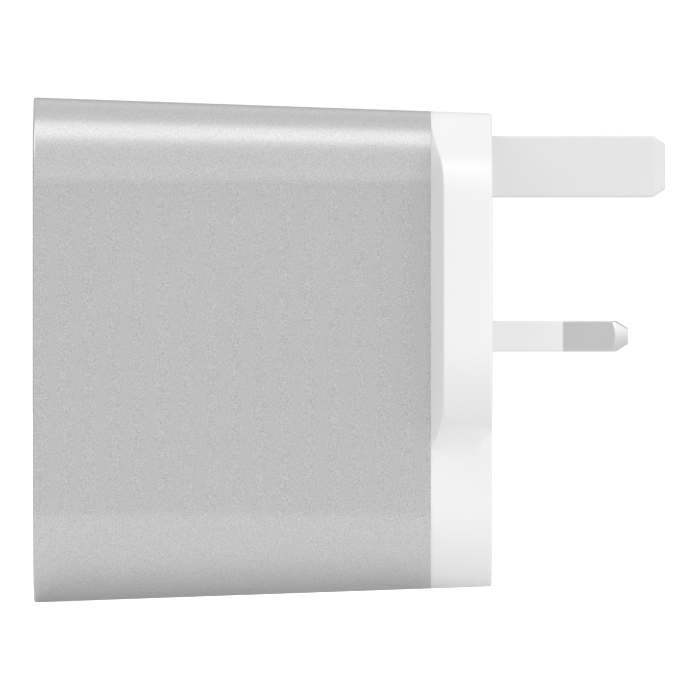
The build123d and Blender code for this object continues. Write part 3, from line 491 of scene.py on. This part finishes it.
def half_face_outline():
    """Right half of the base outline at the plug face, top to bottom: (x, z, kind of wall)."""
    centre_x = FACE_HALF_WIDTH - FACE_CORNER
    top_z = BODY_MID_Z + FACE_HALF_HEIGHT - FACE_CORNER
    low_z = BODY_MID_Z - FACE_HALF_HEIGHT + FACE_CORNER
    run = [(x, top_z + FACE_CORNER, "body") for x in (0.0, 1.25, 2.5, 3.75)]
    run += [(x, z, "body") for x, z in arc_points((centre_x, top_z), FACE_CORNER, 90, 68, 8)]
    tangent = run[-1][:2]
    slope_end = (SLOPE_END_X, tangent[1] - (SLOPE_END_X - tangent[0]) * SLOPE_FALL)
    run += [(x, z, "wing") for x, z in straight(tangent, slope_end, 14)]
    side_top = (WING_HALF_WIDTH, WING_SIDE_TOP_Z)
    side_low = (WING_HALF_WIDTH, WING_SIDE_LOW_Z)
    leaving = (SHOULDER_PULL[0], slope_end[1] - SHOULDER_PULL[1])
    shoulder = cubic(slope_end, leaving, (WING_HALF_WIDTH, SHOULDER_REST_Z), side_top, 18)
    run += [(x, z, "wing") for x, z in shoulder]
    run += [(x, z, "wing") for x, z in straight(side_top, side_low, 12)]
    arc_x = WING_HALF_WIDTH - WING_ARC
    end_angle = math.degrees(math.asin((WING_SIDE_LOW_Z - WING_STEP_Z) / WING_ARC))
    arc = arc_points((arc_x, WING_SIDE_LOW_Z), WING_ARC, 0, -end_angle, 26)
    run += [(x, z, "wing") for x, z in arc[:-1]]
    run += [(x, z, "wing") for x, z in bent(arc[-2], arc[-1], WING_FOOT, 0.18, 5)]
    below = (FACE_HALF_WIDTH, WING_FOOT[1] - FOOT_DROP)
    foot_turn = bent(arc[-1], WING_FOOT, below, FOOT_ROUND, 8)
    run += [(x, z, "gusset") for x, z in straight(run[-1][:2], foot_turn[0], 5)]
    run += [(x, z, "gusset") for x, z in foot_turn[:4]]
    run += [(x, z, "body") for x, z in foot_turn[4:]]
    run += [(x, z, "body") for x, z in straight(foot_turn[-1], (FACE_HALF_WIDTH, low_z), 8)]
    run += [(x, z, "body") for x, z in arc_points((centre_x, low_z), FACE_CORNER, 0, -90, 28)]
    run += [(x, low_z - FACE_CORNER, "body") for x in (3.75, 2.5, 1.25, 0.0)]
    return run


def body_side_point(x, z, y, inset=0.0):
    """Nearest point of the drafted body section at depth y to a point outside it."""
    grow = -y * DRAFT - inset
    half_x = FACE_HALF_WIDTH + grow
    half_z = FACE_HALF_HEIGHT + grow
    radius = FACE_CORNER + grow
    up = z - BODY_MID_Z
    core_x = max(-(half_x - radius), min(half_x - radius, x))
    core_z = max(-(half_z - radius), min(half_z - radius, up))
    away = Vector((x - core_x, up - core_z))
    if away.length < 1e-6:
        away = Vector((0, 1 if up > 0 else -1))
    away = away.normalized() * radius
    return core_x + away.x, core_z + away.y + BODY_MID_Z


def wall_point(x, z, kind, y):
    """The outline point carried along its wall to depth y."""
    at_face = Vector(body_side_point(x, z, 0))
    stand = (Vector((x, z)) - at_face).length
    drafted = Vector(body_side_point(x, z, y)) - at_face
    hold = 1.0 if kind == "body" else max(0.0, 1 - stand / STAND_FADE)
    crown_share = (x - CROWN_FROM_X) / (WING_HALF_WIDTH - CROWN_FROM_X)
    full = min(1.0, max(0.0, crown_share)) if kind == "wing" else 0.0
    crown = WING_CROWN * (y / WING_FRONT_Y) ** 2 * full
    lift = 0.0
    if y > GUSSET_END_Y and x > 14 and z < WING_STEP_Z:
        near = (z - WING_STEP_Z) / (WING_FOOT[1] - WING_STEP_Z)
        near = near if near < 1 else max(0.0, 1 - (WING_FOOT[1] - z) / GUSSET_FADE)
        lift = GUSSET_LIFT * near * (1 - y / GUSSET_END_Y)
    return Vector((x + drafted.x * hold - crown, y, z + drafted.y * hold + lift))


def base_profile(x, z, kind):
    """Points from the sleeve edge to the plug face for one outline point."""
    root_x, root_z = body_side_point(x, z, -BASE_DEPTH)
    if kind == "wing" and z < WING_SIDE_LOW_Z:
        share = min(1.0, (WING_SIDE_LOW_Z - z) / (WING_SIDE_LOW_Z - WING_STEP_Z))
        root_z = WING_SIDE_LOW_Z + (WING_FOOT[1] - WING_SIDE_LOW_Z) * share
        root_x = body_side_point(x, root_z, -BASE_DEPTH)[0]
    edge_y = WING_FRONT_Y
    if kind == "wing" and z > WING_SIDE_LOW_Z:
        stand = math.hypot(x - root_x, z - root_z)
        edge_y = -BASE_DEPTH + (WING_FRONT_Y + BASE_DEPTH) * min(1.0, stand / SLOPE_REACH)
    seam_x, seam_z = body_side_point(root_x, root_z, -BASE_DEPTH, SEAM_ROUND)
    root = Vector((root_x, -BASE_DEPTH + SEAM_ROUND, root_z))
    corner = wall_point(x, z, kind, max(edge_y, -BASE_DEPTH + 3 * SEAM_ROUND))
    back = root - corner
    entry = corner + back.normalized() * min(WING_EDGE_ROUND, back.length * 0.45)
    leave = wall_point(x, z, kind, corner.y + WING_EDGE_ROUND)
    points = [Vector((seam_x, -BASE_DEPTH, seam_z)), root, root.lerp(entry, 0.5)]
    if kind == "gusset":
        points = []
        entry = wall_point(x, z, kind, WING_FRONT_Y - WING_EDGE_ROUND * 0.4)
        corner = wall_point(x, z, kind, WING_FRONT_Y)
    for step in range(6):
        t = step / 5
        points.append(entry * (1 - t) ** 2 + corner * 2 * t * (1 - t) + leave * t ** 2)
    return points + [wall_point(x, z, kind, y) for y in SIDE_ROWS]


base_outline = half_face_outline()
base_outline += [(-x, z, kind) for x, z, kind in reversed(base_outline[1:-1])]
profiles = []
for x, z, kind in base_outline:
    side = -1 if x < 0 else 1
    profile = base_profile(abs(x), z, kind)
    profiles.append([Vector((side * point.x, point.y, point.z)) for point in profile])
outline_count = len(profiles)
rims = [profile[-1] for profile in profiles]
for index in range(outline_count):
    run = rims[(index + 1) % outline_count] - rims[index - 1]
    inward = Vector((run.z, 0, -run.x)).normalized()
    if base_outline[index][2] == "body" and inward.dot(Vector((0, 0, BODY_MID_Z)) - rims[index]) < 0:
        inward = -inward
    if base_outline[index][2] != "body" and inward.x * rims[index].x > 0:
        inward = -inward
    for step in range(1, 6):
        turn = math.radians(90 * step / 5)
        rise_y = -FACE_ROUND + FACE_ROUND * math.sin(turn)
        shift = inward * FACE_ROUND * (1 - math.cos(turn))
        profiles[index].append(Vector((rims[index].x, rise_y, rims[index].z)) + shift)

# The moulding is closed column by column; under each wing a flat gusset ends on the
# mitre line of the front wall.
base_mesh = bmesh.new()
columns = [[base_mesh.verts.new(point) for point in profile] for profile in profiles]
for index in range(outline_count):
    after = (index + 1) % outline_count
    if base_outline[index][2] != "gusset" and base_outline[after][2] == "gusset":
        far = after
        while base_outline[far][2] == "gusset":
            far = (far + 1) % outline_count
        crease, foot = columns[index], columns[far]
        for row in (0, 1):
            base_mesh.verts.remove(foot[row])
            foot[row] = crease[row]
        fill = crease[1:4] + [columns[place][0] for place in range(after, far)] + [foot[3], foot[2]]
        base_mesh.faces.new(fill)
for index in range(outline_count):
    one, two = columns[index], columns[(index + 1) % outline_count]
    for row in range(1, min(len(one), len(two))):
        corners = (one[-row], two[-row], two[-row - 1], one[-row - 1])
        if len(set(corners)) == 4:
            base_mesh.faces.new(corners)
seam_ring = []
for column, (x, z, kind) in zip(columns, base_outline):
    if kind != "gusset" and column[0] not in seam_ring:
        seam_ring.append(column[0])
base_mesh.faces.new(seam_ring)
base_mesh.faces.new([column[-1] for column in columns])
plug_base = make_piece("plug_base_shell", base_mesh)
keep_flats(plug_base)
white_shell = finish_for(
    "white_shell", (0.93, 0.93, 0.93), 0.36, grain=5200, tint=0.02, gloss=0.05, bump=0.05,
    wear=0.0, specular=0.5,
)
dress(plug_base, white_shell)
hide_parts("plug_base")

# ---- Power pin sleeves
# Nylon insulation moulded round the first half of the live and neutral pins,
# flush with the bare metal in front of it.
PIN_SPACING = 22.22
PIN_HALF_WIDTH = 3.175
PIN_HALF_HEIGHT = 2.0
PIN_LENGTH = 17.7
PIN_SLEEVE_LENGTH = 9.25
PIN_CORNER = 0.25


def bar_ring(half_x, half_z, corner, y, x_mid=0.0, z_mid=0.0, runs=8):
    """Rounded rectangle at depth y, in mm, with runs points along each side."""
    points = []
    for sign_x, sign_z, start in ((1, 1, 0), (-1, 1, 90), (-1, -1, 180), (1, -1, 270)):
        mid = (sign_x * (half_x - corner), sign_z * (half_z - corner))
        for x, z in arc_points(mid, corner, start, start + 90, 5):
            points.append(Vector((x + x_mid, y, z + z_mid)))
        follow = {(1, 1): (-1, 1), (-1, 1): (-1, -1), (-1, -1): (1, -1), (1, -1): (1, 1)}[(sign_x, sign_z)]
        last = points[-1]
        angle = math.radians(start + 90)
        ahead = Vector((
            follow[0] * (half_x - corner) + corner * math.cos(angle) + x_mid,
            y,
            follow[1] * (half_z - corner) + corner * math.sin(angle) + z_mid,
        ))
        for step in range(1, runs):
            points.append(last.lerp(ahead, step / runs))
    return points


# The sleeves are the same white plastic as the base; this greyer white is painted shade for the duller light
# they get near the plug face.
pin_nylon_painted_shade = finish_for(
    "pin_nylon_painted_shade", (0.88, 0.88, 0.88), 0.42, grain=5000, tint=0.02, gloss=0.05, bump=0.05, wear=0.1,
)
for side, node in ((1, "live_pin_sleeve"), (-1, "neutral_pin_sleeve")):
    x = side * PIN_SPACING / 2
    rings = [bar_ring(PIN_HALF_WIDTH, PIN_HALF_HEIGHT, PIN_CORNER, y, x) for y in (-1.0, 2.0, 5.0, 8.0)]
    for step in range(5):
        turn = math.radians(90 * step / 4)
        back = 0.03 * (1 - math.cos(turn))
        y = PIN_SLEEVE_LENGTH - 0.04 + 0.03 * math.sin(turn)
        rings.append(bar_ring(PIN_HALF_WIDTH - back, PIN_HALF_HEIGHT - back, PIN_CORNER, y, x))
    piece = make_piece(node + "_tube", skin(rings, closed=False))
    keep_flats(piece)
    dress(piece, pin_nylon_painted_shade)
    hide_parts(node)

# ---- Live and neutral pins
# Solid brass, nickel plated, with a blunt tapered nose so it enters the socket. The
# bare metal starts where the insulating sleeve ends.
NOSE_LENGTH = 1.57
NOSE_HALF_HEIGHT = 1.03
NOSE_HALF_WIDTH = 2.2
NOSE_SIDE_LENGTH = 2.05
NOSE_SIDE_REACH = 3.46
NOSE_BULGE = 14.0
NOSE_CORNER = 0.2
TIP_ROUND = 0.1


def nose_ring(back, x_mid):
    """Section of the pin nose, back mm behind the tip: sides bulge, top and bottom are flat."""
    widening = (PIN_HALF_HEIGHT - NOSE_HALF_HEIGHT) * back / NOSE_LENGTH
    half_z = min(PIN_HALF_HEIGHT, NOSE_HALF_HEIGHT + widening)
    middle_x = NOSE_HALF_WIDTH + (NOSE_SIDE_REACH - NOSE_HALF_WIDTH) * back / NOSE_SIDE_LENGTH
    y = PIN_LENGTH - back
    base = bar_ring(PIN_HALF_WIDTH, half_z, NOSE_CORNER, y)
    ring = []
    for point in base:
        limit = middle_x - point.z ** 2 / NOSE_BULGE
        reach = min(PIN_HALF_WIDTH, limit)
        share = point.x / PIN_HALF_WIDTH
        ring.append(Vector((share * reach + x_mid, y, point.z)))
    return ring


pin_nickel = finish_for(
    "pin_nickel", (0.69, 0.69, 0.695), 0.36, metallic=0.9, grain=6000, tint=0.05, gloss=0.12, bump=0.06,
    wear=0.2, worn=(0.72, 0.71, 0.68),
)
for side, node in ((1, "live_pin"), (-1, "neutral_pin")):
    x = side * PIN_SPACING / 2
    rings = []
    for step in range(4):
        turn = math.radians(90 * step / 3)
        back = 0.03 * (1 - math.sin(turn))
        y = PIN_SLEEVE_LENGTH - 0.01 + 0.03 * (1 - math.cos(turn))
        rings.append(bar_ring(PIN_HALF_WIDTH - back, PIN_HALF_HEIGHT - back, PIN_CORNER, y, x))
    for y in (11.0, 13.0, 15.0):
        rings.append(bar_ring(PIN_HALF_WIDTH, PIN_HALF_HEIGHT, PIN_CORNER, y, x))
    stations = [2.25 - 0.1 * step for step in range(22)] + [TIP_ROUND]
    for back in stations:
        rings.append(nose_ring(back, x))
    tip = nose_ring(TIP_ROUND, x)
    mid = Vector((x, PIN_LENGTH, 0))
    for step in range(1, 5):
        turn = math.radians(90 * step / 4)
        shrink = TIP_ROUND * (1 - math.cos(turn))
        ring = []
        for point in tip:
            radial = Vector((point.x - mid.x, 0, point.z))
            radial *= 1 - shrink / max(radial.length, 0.5)
            tip_y = PIN_LENGTH - TIP_ROUND + TIP_ROUND * math.sin(turn)
            ring.append(Vector((mid.x + radial.x, tip_y, radial.z)))
        rings.append(ring)
    piece = make_piece(node + "_blade", skin(rings, closed=False))
    keep_flats(piece)
    dress(piece, pin_nickel)
    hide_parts(node)

# ---- Earth pin
# Moulded plastic dummy pin, part of a double-insulated plug. It is longer than the
# others and only opens the shutters of the wall socket.
EARTH_RISE = 22.23
EARTH_HALF_WIDTH = 2.0
EARTH_HALF_HEIGHT = 4.025
EARTH_LENGTH = 22.73
EARTH_NOSE_DROP = 1.05
EARTH_NOSE_SIDE = 0.6
EARTH_CORNER = 0.3
EARTH_TIP_ROUND = 0.15
earth_rings = [
    bar_ring(EARTH_HALF_WIDTH, EARTH_HALF_HEIGHT, EARTH_CORNER, y, 0, EARTH_RISE)
    for y in (-1, 4, 9, 14, 19)
]
for step in range(5):
    back = NOSE_LENGTH + 0.12 - 0.06 * step
    drop = max(0.0, NOSE_LENGTH - back) / NOSE_LENGTH
    soft = 0.008 * (4 - abs(step - 2) * 2) if step in (1, 2, 3) else 0.0
    earth_rings.append(bar_ring(
        EARTH_HALF_WIDTH - EARTH_NOSE_SIDE * drop - soft, EARTH_HALF_HEIGHT - EARTH_NOSE_DROP * drop - soft,
        EARTH_CORNER, EARTH_LENGTH - back, 0, EARTH_RISE,
    ))
nose_x = EARTH_HALF_WIDTH - EARTH_NOSE_SIDE
nose_z = EARTH_HALF_HEIGHT - EARTH_NOSE_DROP
for step in range(5):
    turn = math.radians(90 * step / 4)
    shrink = EARTH_TIP_ROUND * (1 - math.cos(turn))
    y = EARTH_LENGTH - EARTH_TIP_ROUND + EARTH_TIP_ROUND * math.sin(turn)
    spare = EARTH_TIP_ROUND * (1 - math.sin(turn)) / NOSE_LENGTH
    earth_rings.append(bar_ring(
        nose_x - shrink + EARTH_NOSE_SIDE * spare, nose_z - shrink + EARTH_NOSE_DROP * spare,
        EARTH_CORNER, y, 0, EARTH_RISE,
    ))
earth_pin = make_piece("earth_pin_blade", skin(earth_rings, closed=False))
keep_flats(earth_pin)
# The earth pin is the same white plastic as the base; this much greyer white is painted shade for the darker
# light it gets beside the plug face.
earth_plastic = finish_for(
    "earth_plastic", (0.81, 0.81, 0.81), 0.4, grain=5000, tint=0.02, gloss=0.05, bump=0.05, wear=0.1,
)
dress(earth_pin, earth_plastic)
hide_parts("earth_pin")

# ---- Front bezel
# White moulded plate that snaps into the open end of the sleeve, a little below the
# painted edge, with two rounded openings for the USB sockets.
BEZEL_FACE_Y = -59.4
BEZEL_THICK = 2.4
BEZEL_GAP = 1.85
BEZEL_ROUND = 0.35
MOUTH_LEAD = 0.3
USB_A_Z = -10.8
USB_C_Z = 7.2
SOCKET_GAP = 0.1
SOCKET_WALL = 0.3
A_HALF = (6.25 + SOCKET_WALL + SOCKET_GAP, 2.56 + SOCKET_WALL + SOCKET_GAP)
C_HALF = (4.17 + SOCKET_WALL + SOCKET_GAP, 1.28 + SOCKET_WALL + SOCKET_GAP)


def bezel_opening(half, corner, z_mid, y, grow=0.0):
    """One socket opening at depth y, widened all round by grow."""
    return bar_ring(half[0] + grow, half[1] + grow, corner + grow, y, 0, z_mid)


def opening_rings(half, corner, z_mid):
    """Rings from the plate's face round the lead-in and through to its back."""
    rings = []
    for step in range(6):
        turn = math.radians(90 * step / 5)
        y = BEZEL_FACE_Y + MOUTH_LEAD * math.sin(turn)
        rings.append(bezel_opening(half, corner, z_mid, y, MOUTH_LEAD * (1 - math.sin(turn))))
    rings.append(bezel_opening(half, corner, z_mid, BEZEL_FACE_Y + BEZEL_THICK))
    return rings


bezel_mesh = bmesh.new()
plate_rings = [body_outline(BEZEL_FACE_Y + BEZEL_THICK, BEZEL_GAP)]
for step in range(6):
    turn = math.radians(90 * step / 5)
    y = BEZEL_FACE_Y + BEZEL_ROUND * (1 - math.sin(turn))
    plate_rings.append(body_outline(y, BEZEL_GAP + BEZEL_ROUND * (1 - math.cos(turn))))
ring_sets = [
    plate_rings,
    opening_rings(A_HALF, 0.7, USB_A_Z),
    opening_rings(C_HALF, C_HALF[1] - 0.01, USB_C_Z),
]
face_edges = []
back_edges = []
for number, rings in enumerate(ring_sets):
    rows = [[bezel_mesh.verts.new(point) for point in ring] for ring in rings]
    for row, below in zip(rows, rows[1:]):
        for index in range(len(row)):
            follow = (index + 1) % len(row)
            bezel_mesh.faces.new((row[index], row[follow], below[follow], below[index]))
    front_row, back_row = (rows[-1], rows[0]) if number == 0 else (rows[0], rows[-1])
    for row, edges in ((front_row, face_edges), (back_row, back_edges)):
        for index in range(len(row)):
            edges.append(bezel_mesh.edges.get((row[index], row[(index + 1) % len(row)])))
bmesh.ops.triangle_fill(bezel_mesh, edges=face_edges, use_beauty=True)
bmesh.ops.triangle_fill(bezel_mesh, edges=back_edges, use_beauty=True)
front_plate = make_piece("front_bezel_plate", bezel_mesh)
keep_flats(front_plate)
dress(front_plate, white_shell)
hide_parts("front_bezel")

# ---- USB socket shells
# Steel strip folded or drawn into a tube; the mouth edges are rolled a little so that
# the plug finds its way in.
socket_steel = finish_for(
    "socket_steel", (0.62, 0.62, 0.62), 0.3, metallic=1.0, grain=2600, tint=0.1, gloss=0.15, bump=0.12,
    wear=0.4, worn=(0.8, 0.79, 0.77),
)
MOUTH_Y = -59.1
SOCKET_BACK_Y = -46.0
for node, half, corner, z_mid in (
    ("usb_a_shell", (6.25, 2.56), 0.3, USB_A_Z),
    ("usb_c_shell", (4.17, 1.28), 1.27, USB_C_Z),
):
    rings = [bar_ring(half[0] + SOCKET_WALL, half[1] + SOCKET_WALL, corner + SOCKET_WALL, y, 0, z_mid)
             for y in (SOCKET_BACK_Y, -50.0, -54.0, MOUTH_Y + SOCKET_WALL / 2)]
    for step in range(1, 8):
        turn = math.pi * step / 8
        grow = SOCKET_WALL / 2 * (1 + math.cos(turn))
        y = MOUTH_Y + SOCKET_WALL / 2 * (1 - math.sin(turn))
        rings.append(bar_ring(half[0] + grow, half[1] + grow, corner + grow, y, 0, z_mid))
    rings += [bar_ring(half[0], half[1], corner, y, 0, z_mid)
              for y in (MOUTH_Y + SOCKET_WALL / 2, -54.0, -50.0, SOCKET_BACK_Y)]
    shell = make_piece(node + "_tube", skin(rings, closed=True))
    keep_flats(shell)
    dress(shell, socket_steel)
    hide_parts(node)

# ---- USB tongues
# Black glass-filled nylon insulators that hold the contacts; each has a base block
# that plugs the back of its shell and a thin tongue with softened edges.
tongue_nylon = finish_for(
    "tongue_nylon", (0.035, 0.035, 0.037), 0.45, grain=3000, tint=0.25, gloss=0.15, bump=0.15,
    wear=0.3, worn=(0.12, 0.12, 0.12),
)
for node, base_half, base_corner, base_y, half, corner, rise, z_mid, tip_y in (
    ("usb_a_tongue", (6.2, 2.51), 0.25, -48.4, (5.55, 0.92), 0.12, 0.9, USB_A_Z, MOUTH_Y + 0.5),
    ("usb_c_tongue", (4.12, 1.23), 1.2, -52.6, (3.345, 0.35), 0.12, 0.0, USB_C_Z, MOUTH_Y + 0.6),
):
    rings = [bar_ring(base_half[0], base_half[1], base_corner, y, 0, z_mid)
             for y in (SOCKET_BACK_Y, base_y + 0.1)]
    rings.append(bar_ring(base_half[0] - 0.1, base_half[1] - 0.1, base_corner - 0.05, base_y, 0, z_mid))
    for y in (base_y, (base_y + tip_y) / 2, tip_y + 0.2):
        rings.append(bar_ring(half[0], half[1], corner, y, 0, z_mid + rise))
    for step in range(1, 5):
        turn = math.radians(90 * step / 4)
        back = 0.15 * (1 - math.cos(turn))
        y = tip_y + 0.2 * (1 - math.sin(turn))
        rings.append(bar_ring(half[0] - back, half[1] - back, corner, y, 0, z_mid + rise))
    tongue = make_piece(node + "_moulding", skin(rings, closed=False))
    keep_flats(tongue)
    dress(tongue, tongue_nylon)
    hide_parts(node)

# ---- USB contacts and header pins
# Stamped copper-alloy strips, gold plated where they touch. The header pins carry the
# output from the main board to the USB board.
contact_gold = finish_for(
    "contact_gold", (0.9, 0.62, 0.2), 0.28, metallic=1.0, grain=5000, tint=0.1, gloss=0.15, bump=0.08,
    wear=0.3, worn=(0.95, 0.8, 0.5),
)
for node in ("usb_a_contacts", "usb_c_contacts", "header_pins"):
    dress(nodes[node], contact_gold)

# ---- Pin retainer and its screws
# Grey moulded plate over the pin heads, held to bosses in the plug base by four
# zinc-plated screws.
retainer_grey = finish_for("retainer_grey", (0.42, 0.42, 0.43), 0.5, grain=3000, tint=0.12, bump=0.15)
dress(nodes["pin_retainer"], retainer_grey)
zinc_plate = finish_for(
    "zinc_plate", (0.66, 0.66, 0.68), 0.35, metallic=1.0, grain=2500, tint=0.15, gloss=0.2, bump=0.1,
    wear=0.5, worn=(0.8, 0.8, 0.8),
)
dress(nodes["retainer_screws"], zinc_plate)

# ---- Contact springs
# Phosphor-bronze strip, bent to press on the pin tails and soldered to the main
# board.
spring_bronze = finish_for(
    "spring_bronze", (0.72, 0.48, 0.32), 0.34, metallic=1.0, grain=3500, tint=0.12, gloss=0.2, bump=0.08,
    wear=0.4, worn=(0.85, 0.65, 0.5),
)
for node in ("live_spring", "neutral_spring"):
    dress(nodes[node], spring_bronze)

# ---- Circuit boards
# Green glass-fibre laminate, two boards joined at a right angle by a header, with a
# milky insulating film behind the main one.
board_green = finish_for(
    "board_green", (0.02, 0.13, 0.05), 0.35, grain=1600, tint=0.35, gloss=0.2, bump=0.2, wear=0.6,
    worn=(0.35, 0.33, 0.2),
)
for node in ("main_board", "usb_board"):
    dress(nodes[node], board_green)
milky_film = finish_for("milky_film", (0.82, 0.82, 0.76), 0.3, grain=900, tint=0.08, gloss=0.2, bump=0.2)
dress(nodes["insulation_sheet"], milky_film)
header_black = finish_for("header_black", (0.025, 0.025, 0.027), 0.5, grain=2800, tint=0.3, bump=0.2)
dress(nodes["board_header"], header_black)

# ---- Transformer
# Two ferrite halves round a nylon bobbin, with an enamelled copper winding under
# yellow tape. The choke and output inductor share its ferrite and copper.
ferrite_grey = finish_for("ferrite_grey", (0.06, 0.06, 0.065), 0.6, grain=2200, tint=0.5, gloss=0.2, bump=0.4)
for node in ("transformer_core", "choke_core", "output_inductor"):
    dress(nodes[node], ferrite_grey)
bobbin_nylon = finish_for("bobbin_nylon", (0.03, 0.03, 0.033), 0.45, grain=2600, tint=0.25, bump=0.15)
dress(nodes["transformer_bobbin"], bobbin_nylon)
enamelled_copper = finish_for(
    "enamelled_copper", (0.6, 0.22, 0.08), 0.25, metallic=0.9, grain=2400, tint=0.3, gloss=0.2, bump=0.3,
    wear=0.3, worn=(0.8, 0.45, 0.25), coat=0.5,
)
for node in ("transformer_winding", "choke_windings"):
    dress(nodes[node], enamelled_copper)
yellow_tape = finish_for("yellow_tape", (0.8, 0.55, 0.04), 0.3, grain=1200, tint=0.12, gloss=0.2, bump=0.15)
for node in ("transformer_tape", "filter_capacitor"):
    dress(nodes[node], yellow_tape)
dress(nodes["transformer_pins"], zinc_plate)

# ---- Capacitors and thermistor
# Drawn aluminium cans with rubber bungs, and dipped discs with a glossy epoxy skin.
# The heat spreader is cut from the same plain aluminium.
can_aluminium = finish_for(
    "can_aluminium", (0.72, 0.72, 0.74), 0.32, metallic=1.0, grain=2000, tint=0.12, gloss=0.25, bump=0.1,
    wear=0.3, worn=(0.85, 0.85, 0.85),
)
for node in ("bulk_capacitors", "output_capacitors", "heat_spreader"):
    dress(nodes[node], can_aluminium)
bung_rubber = finish_for("bung_rubber", (0.03, 0.03, 0.03), 0.7, grain=1800, tint=0.4, gloss=0.1, bump=0.4)
dress(nodes["capacitor_seals"], bung_rubber)
blue_dip = finish_for(
    "blue_dip", (0.02, 0.09, 0.34), 0.22, grain=700, tint=0.2, gloss=0.2, bump=0.35, coat=0.6,
)
dress(nodes["safety_capacitor"], blue_dip)
green_dip = finish_for(
    "green_dip", (0.03, 0.11, 0.05), 0.25, grain=700, tint=0.2, gloss=0.2, bump=0.35, coat=0.5,
)
dress(nodes["inrush_thermistor"], green_dip)

# ---- Fuse, chips and small parts
# Black moulded epoxy packages and tan ceramic bodies, all soldered flat on the
# boards.
package_black = finish_for(
    "package_black", (0.022, 0.022, 0.024), 0.55, grain=2400, tint=0.4, gloss=0.15, bump=0.3,
)
for node in ("input_fuse", "bridge_rectifier", "optocoupler", "switching_controller",
             "switching_transistor", "synchronous_rectifier", "usb_controller"):
    dress(nodes[node], package_black)
ceramic_tan = finish_for("ceramic_tan", (0.42, 0.3, 0.18), 0.5, grain=2000, tint=0.2, gloss=0.15, bump=0.2)
dress(nodes["chip_parts"], ceramic_tan)

# ---- Thermal pad
# Soft grey silicone sheet, cut to size and squeezed between the transformer and the
# aluminium heat spreader.
pad_silicone = finish_for("pad_silicone", (0.4, 0.45, 0.5), 0.65, grain=1500, tint=0.15, gloss=0.1, bump=0.4)
dress(nodes["thermal_pad"], pad_silicone)
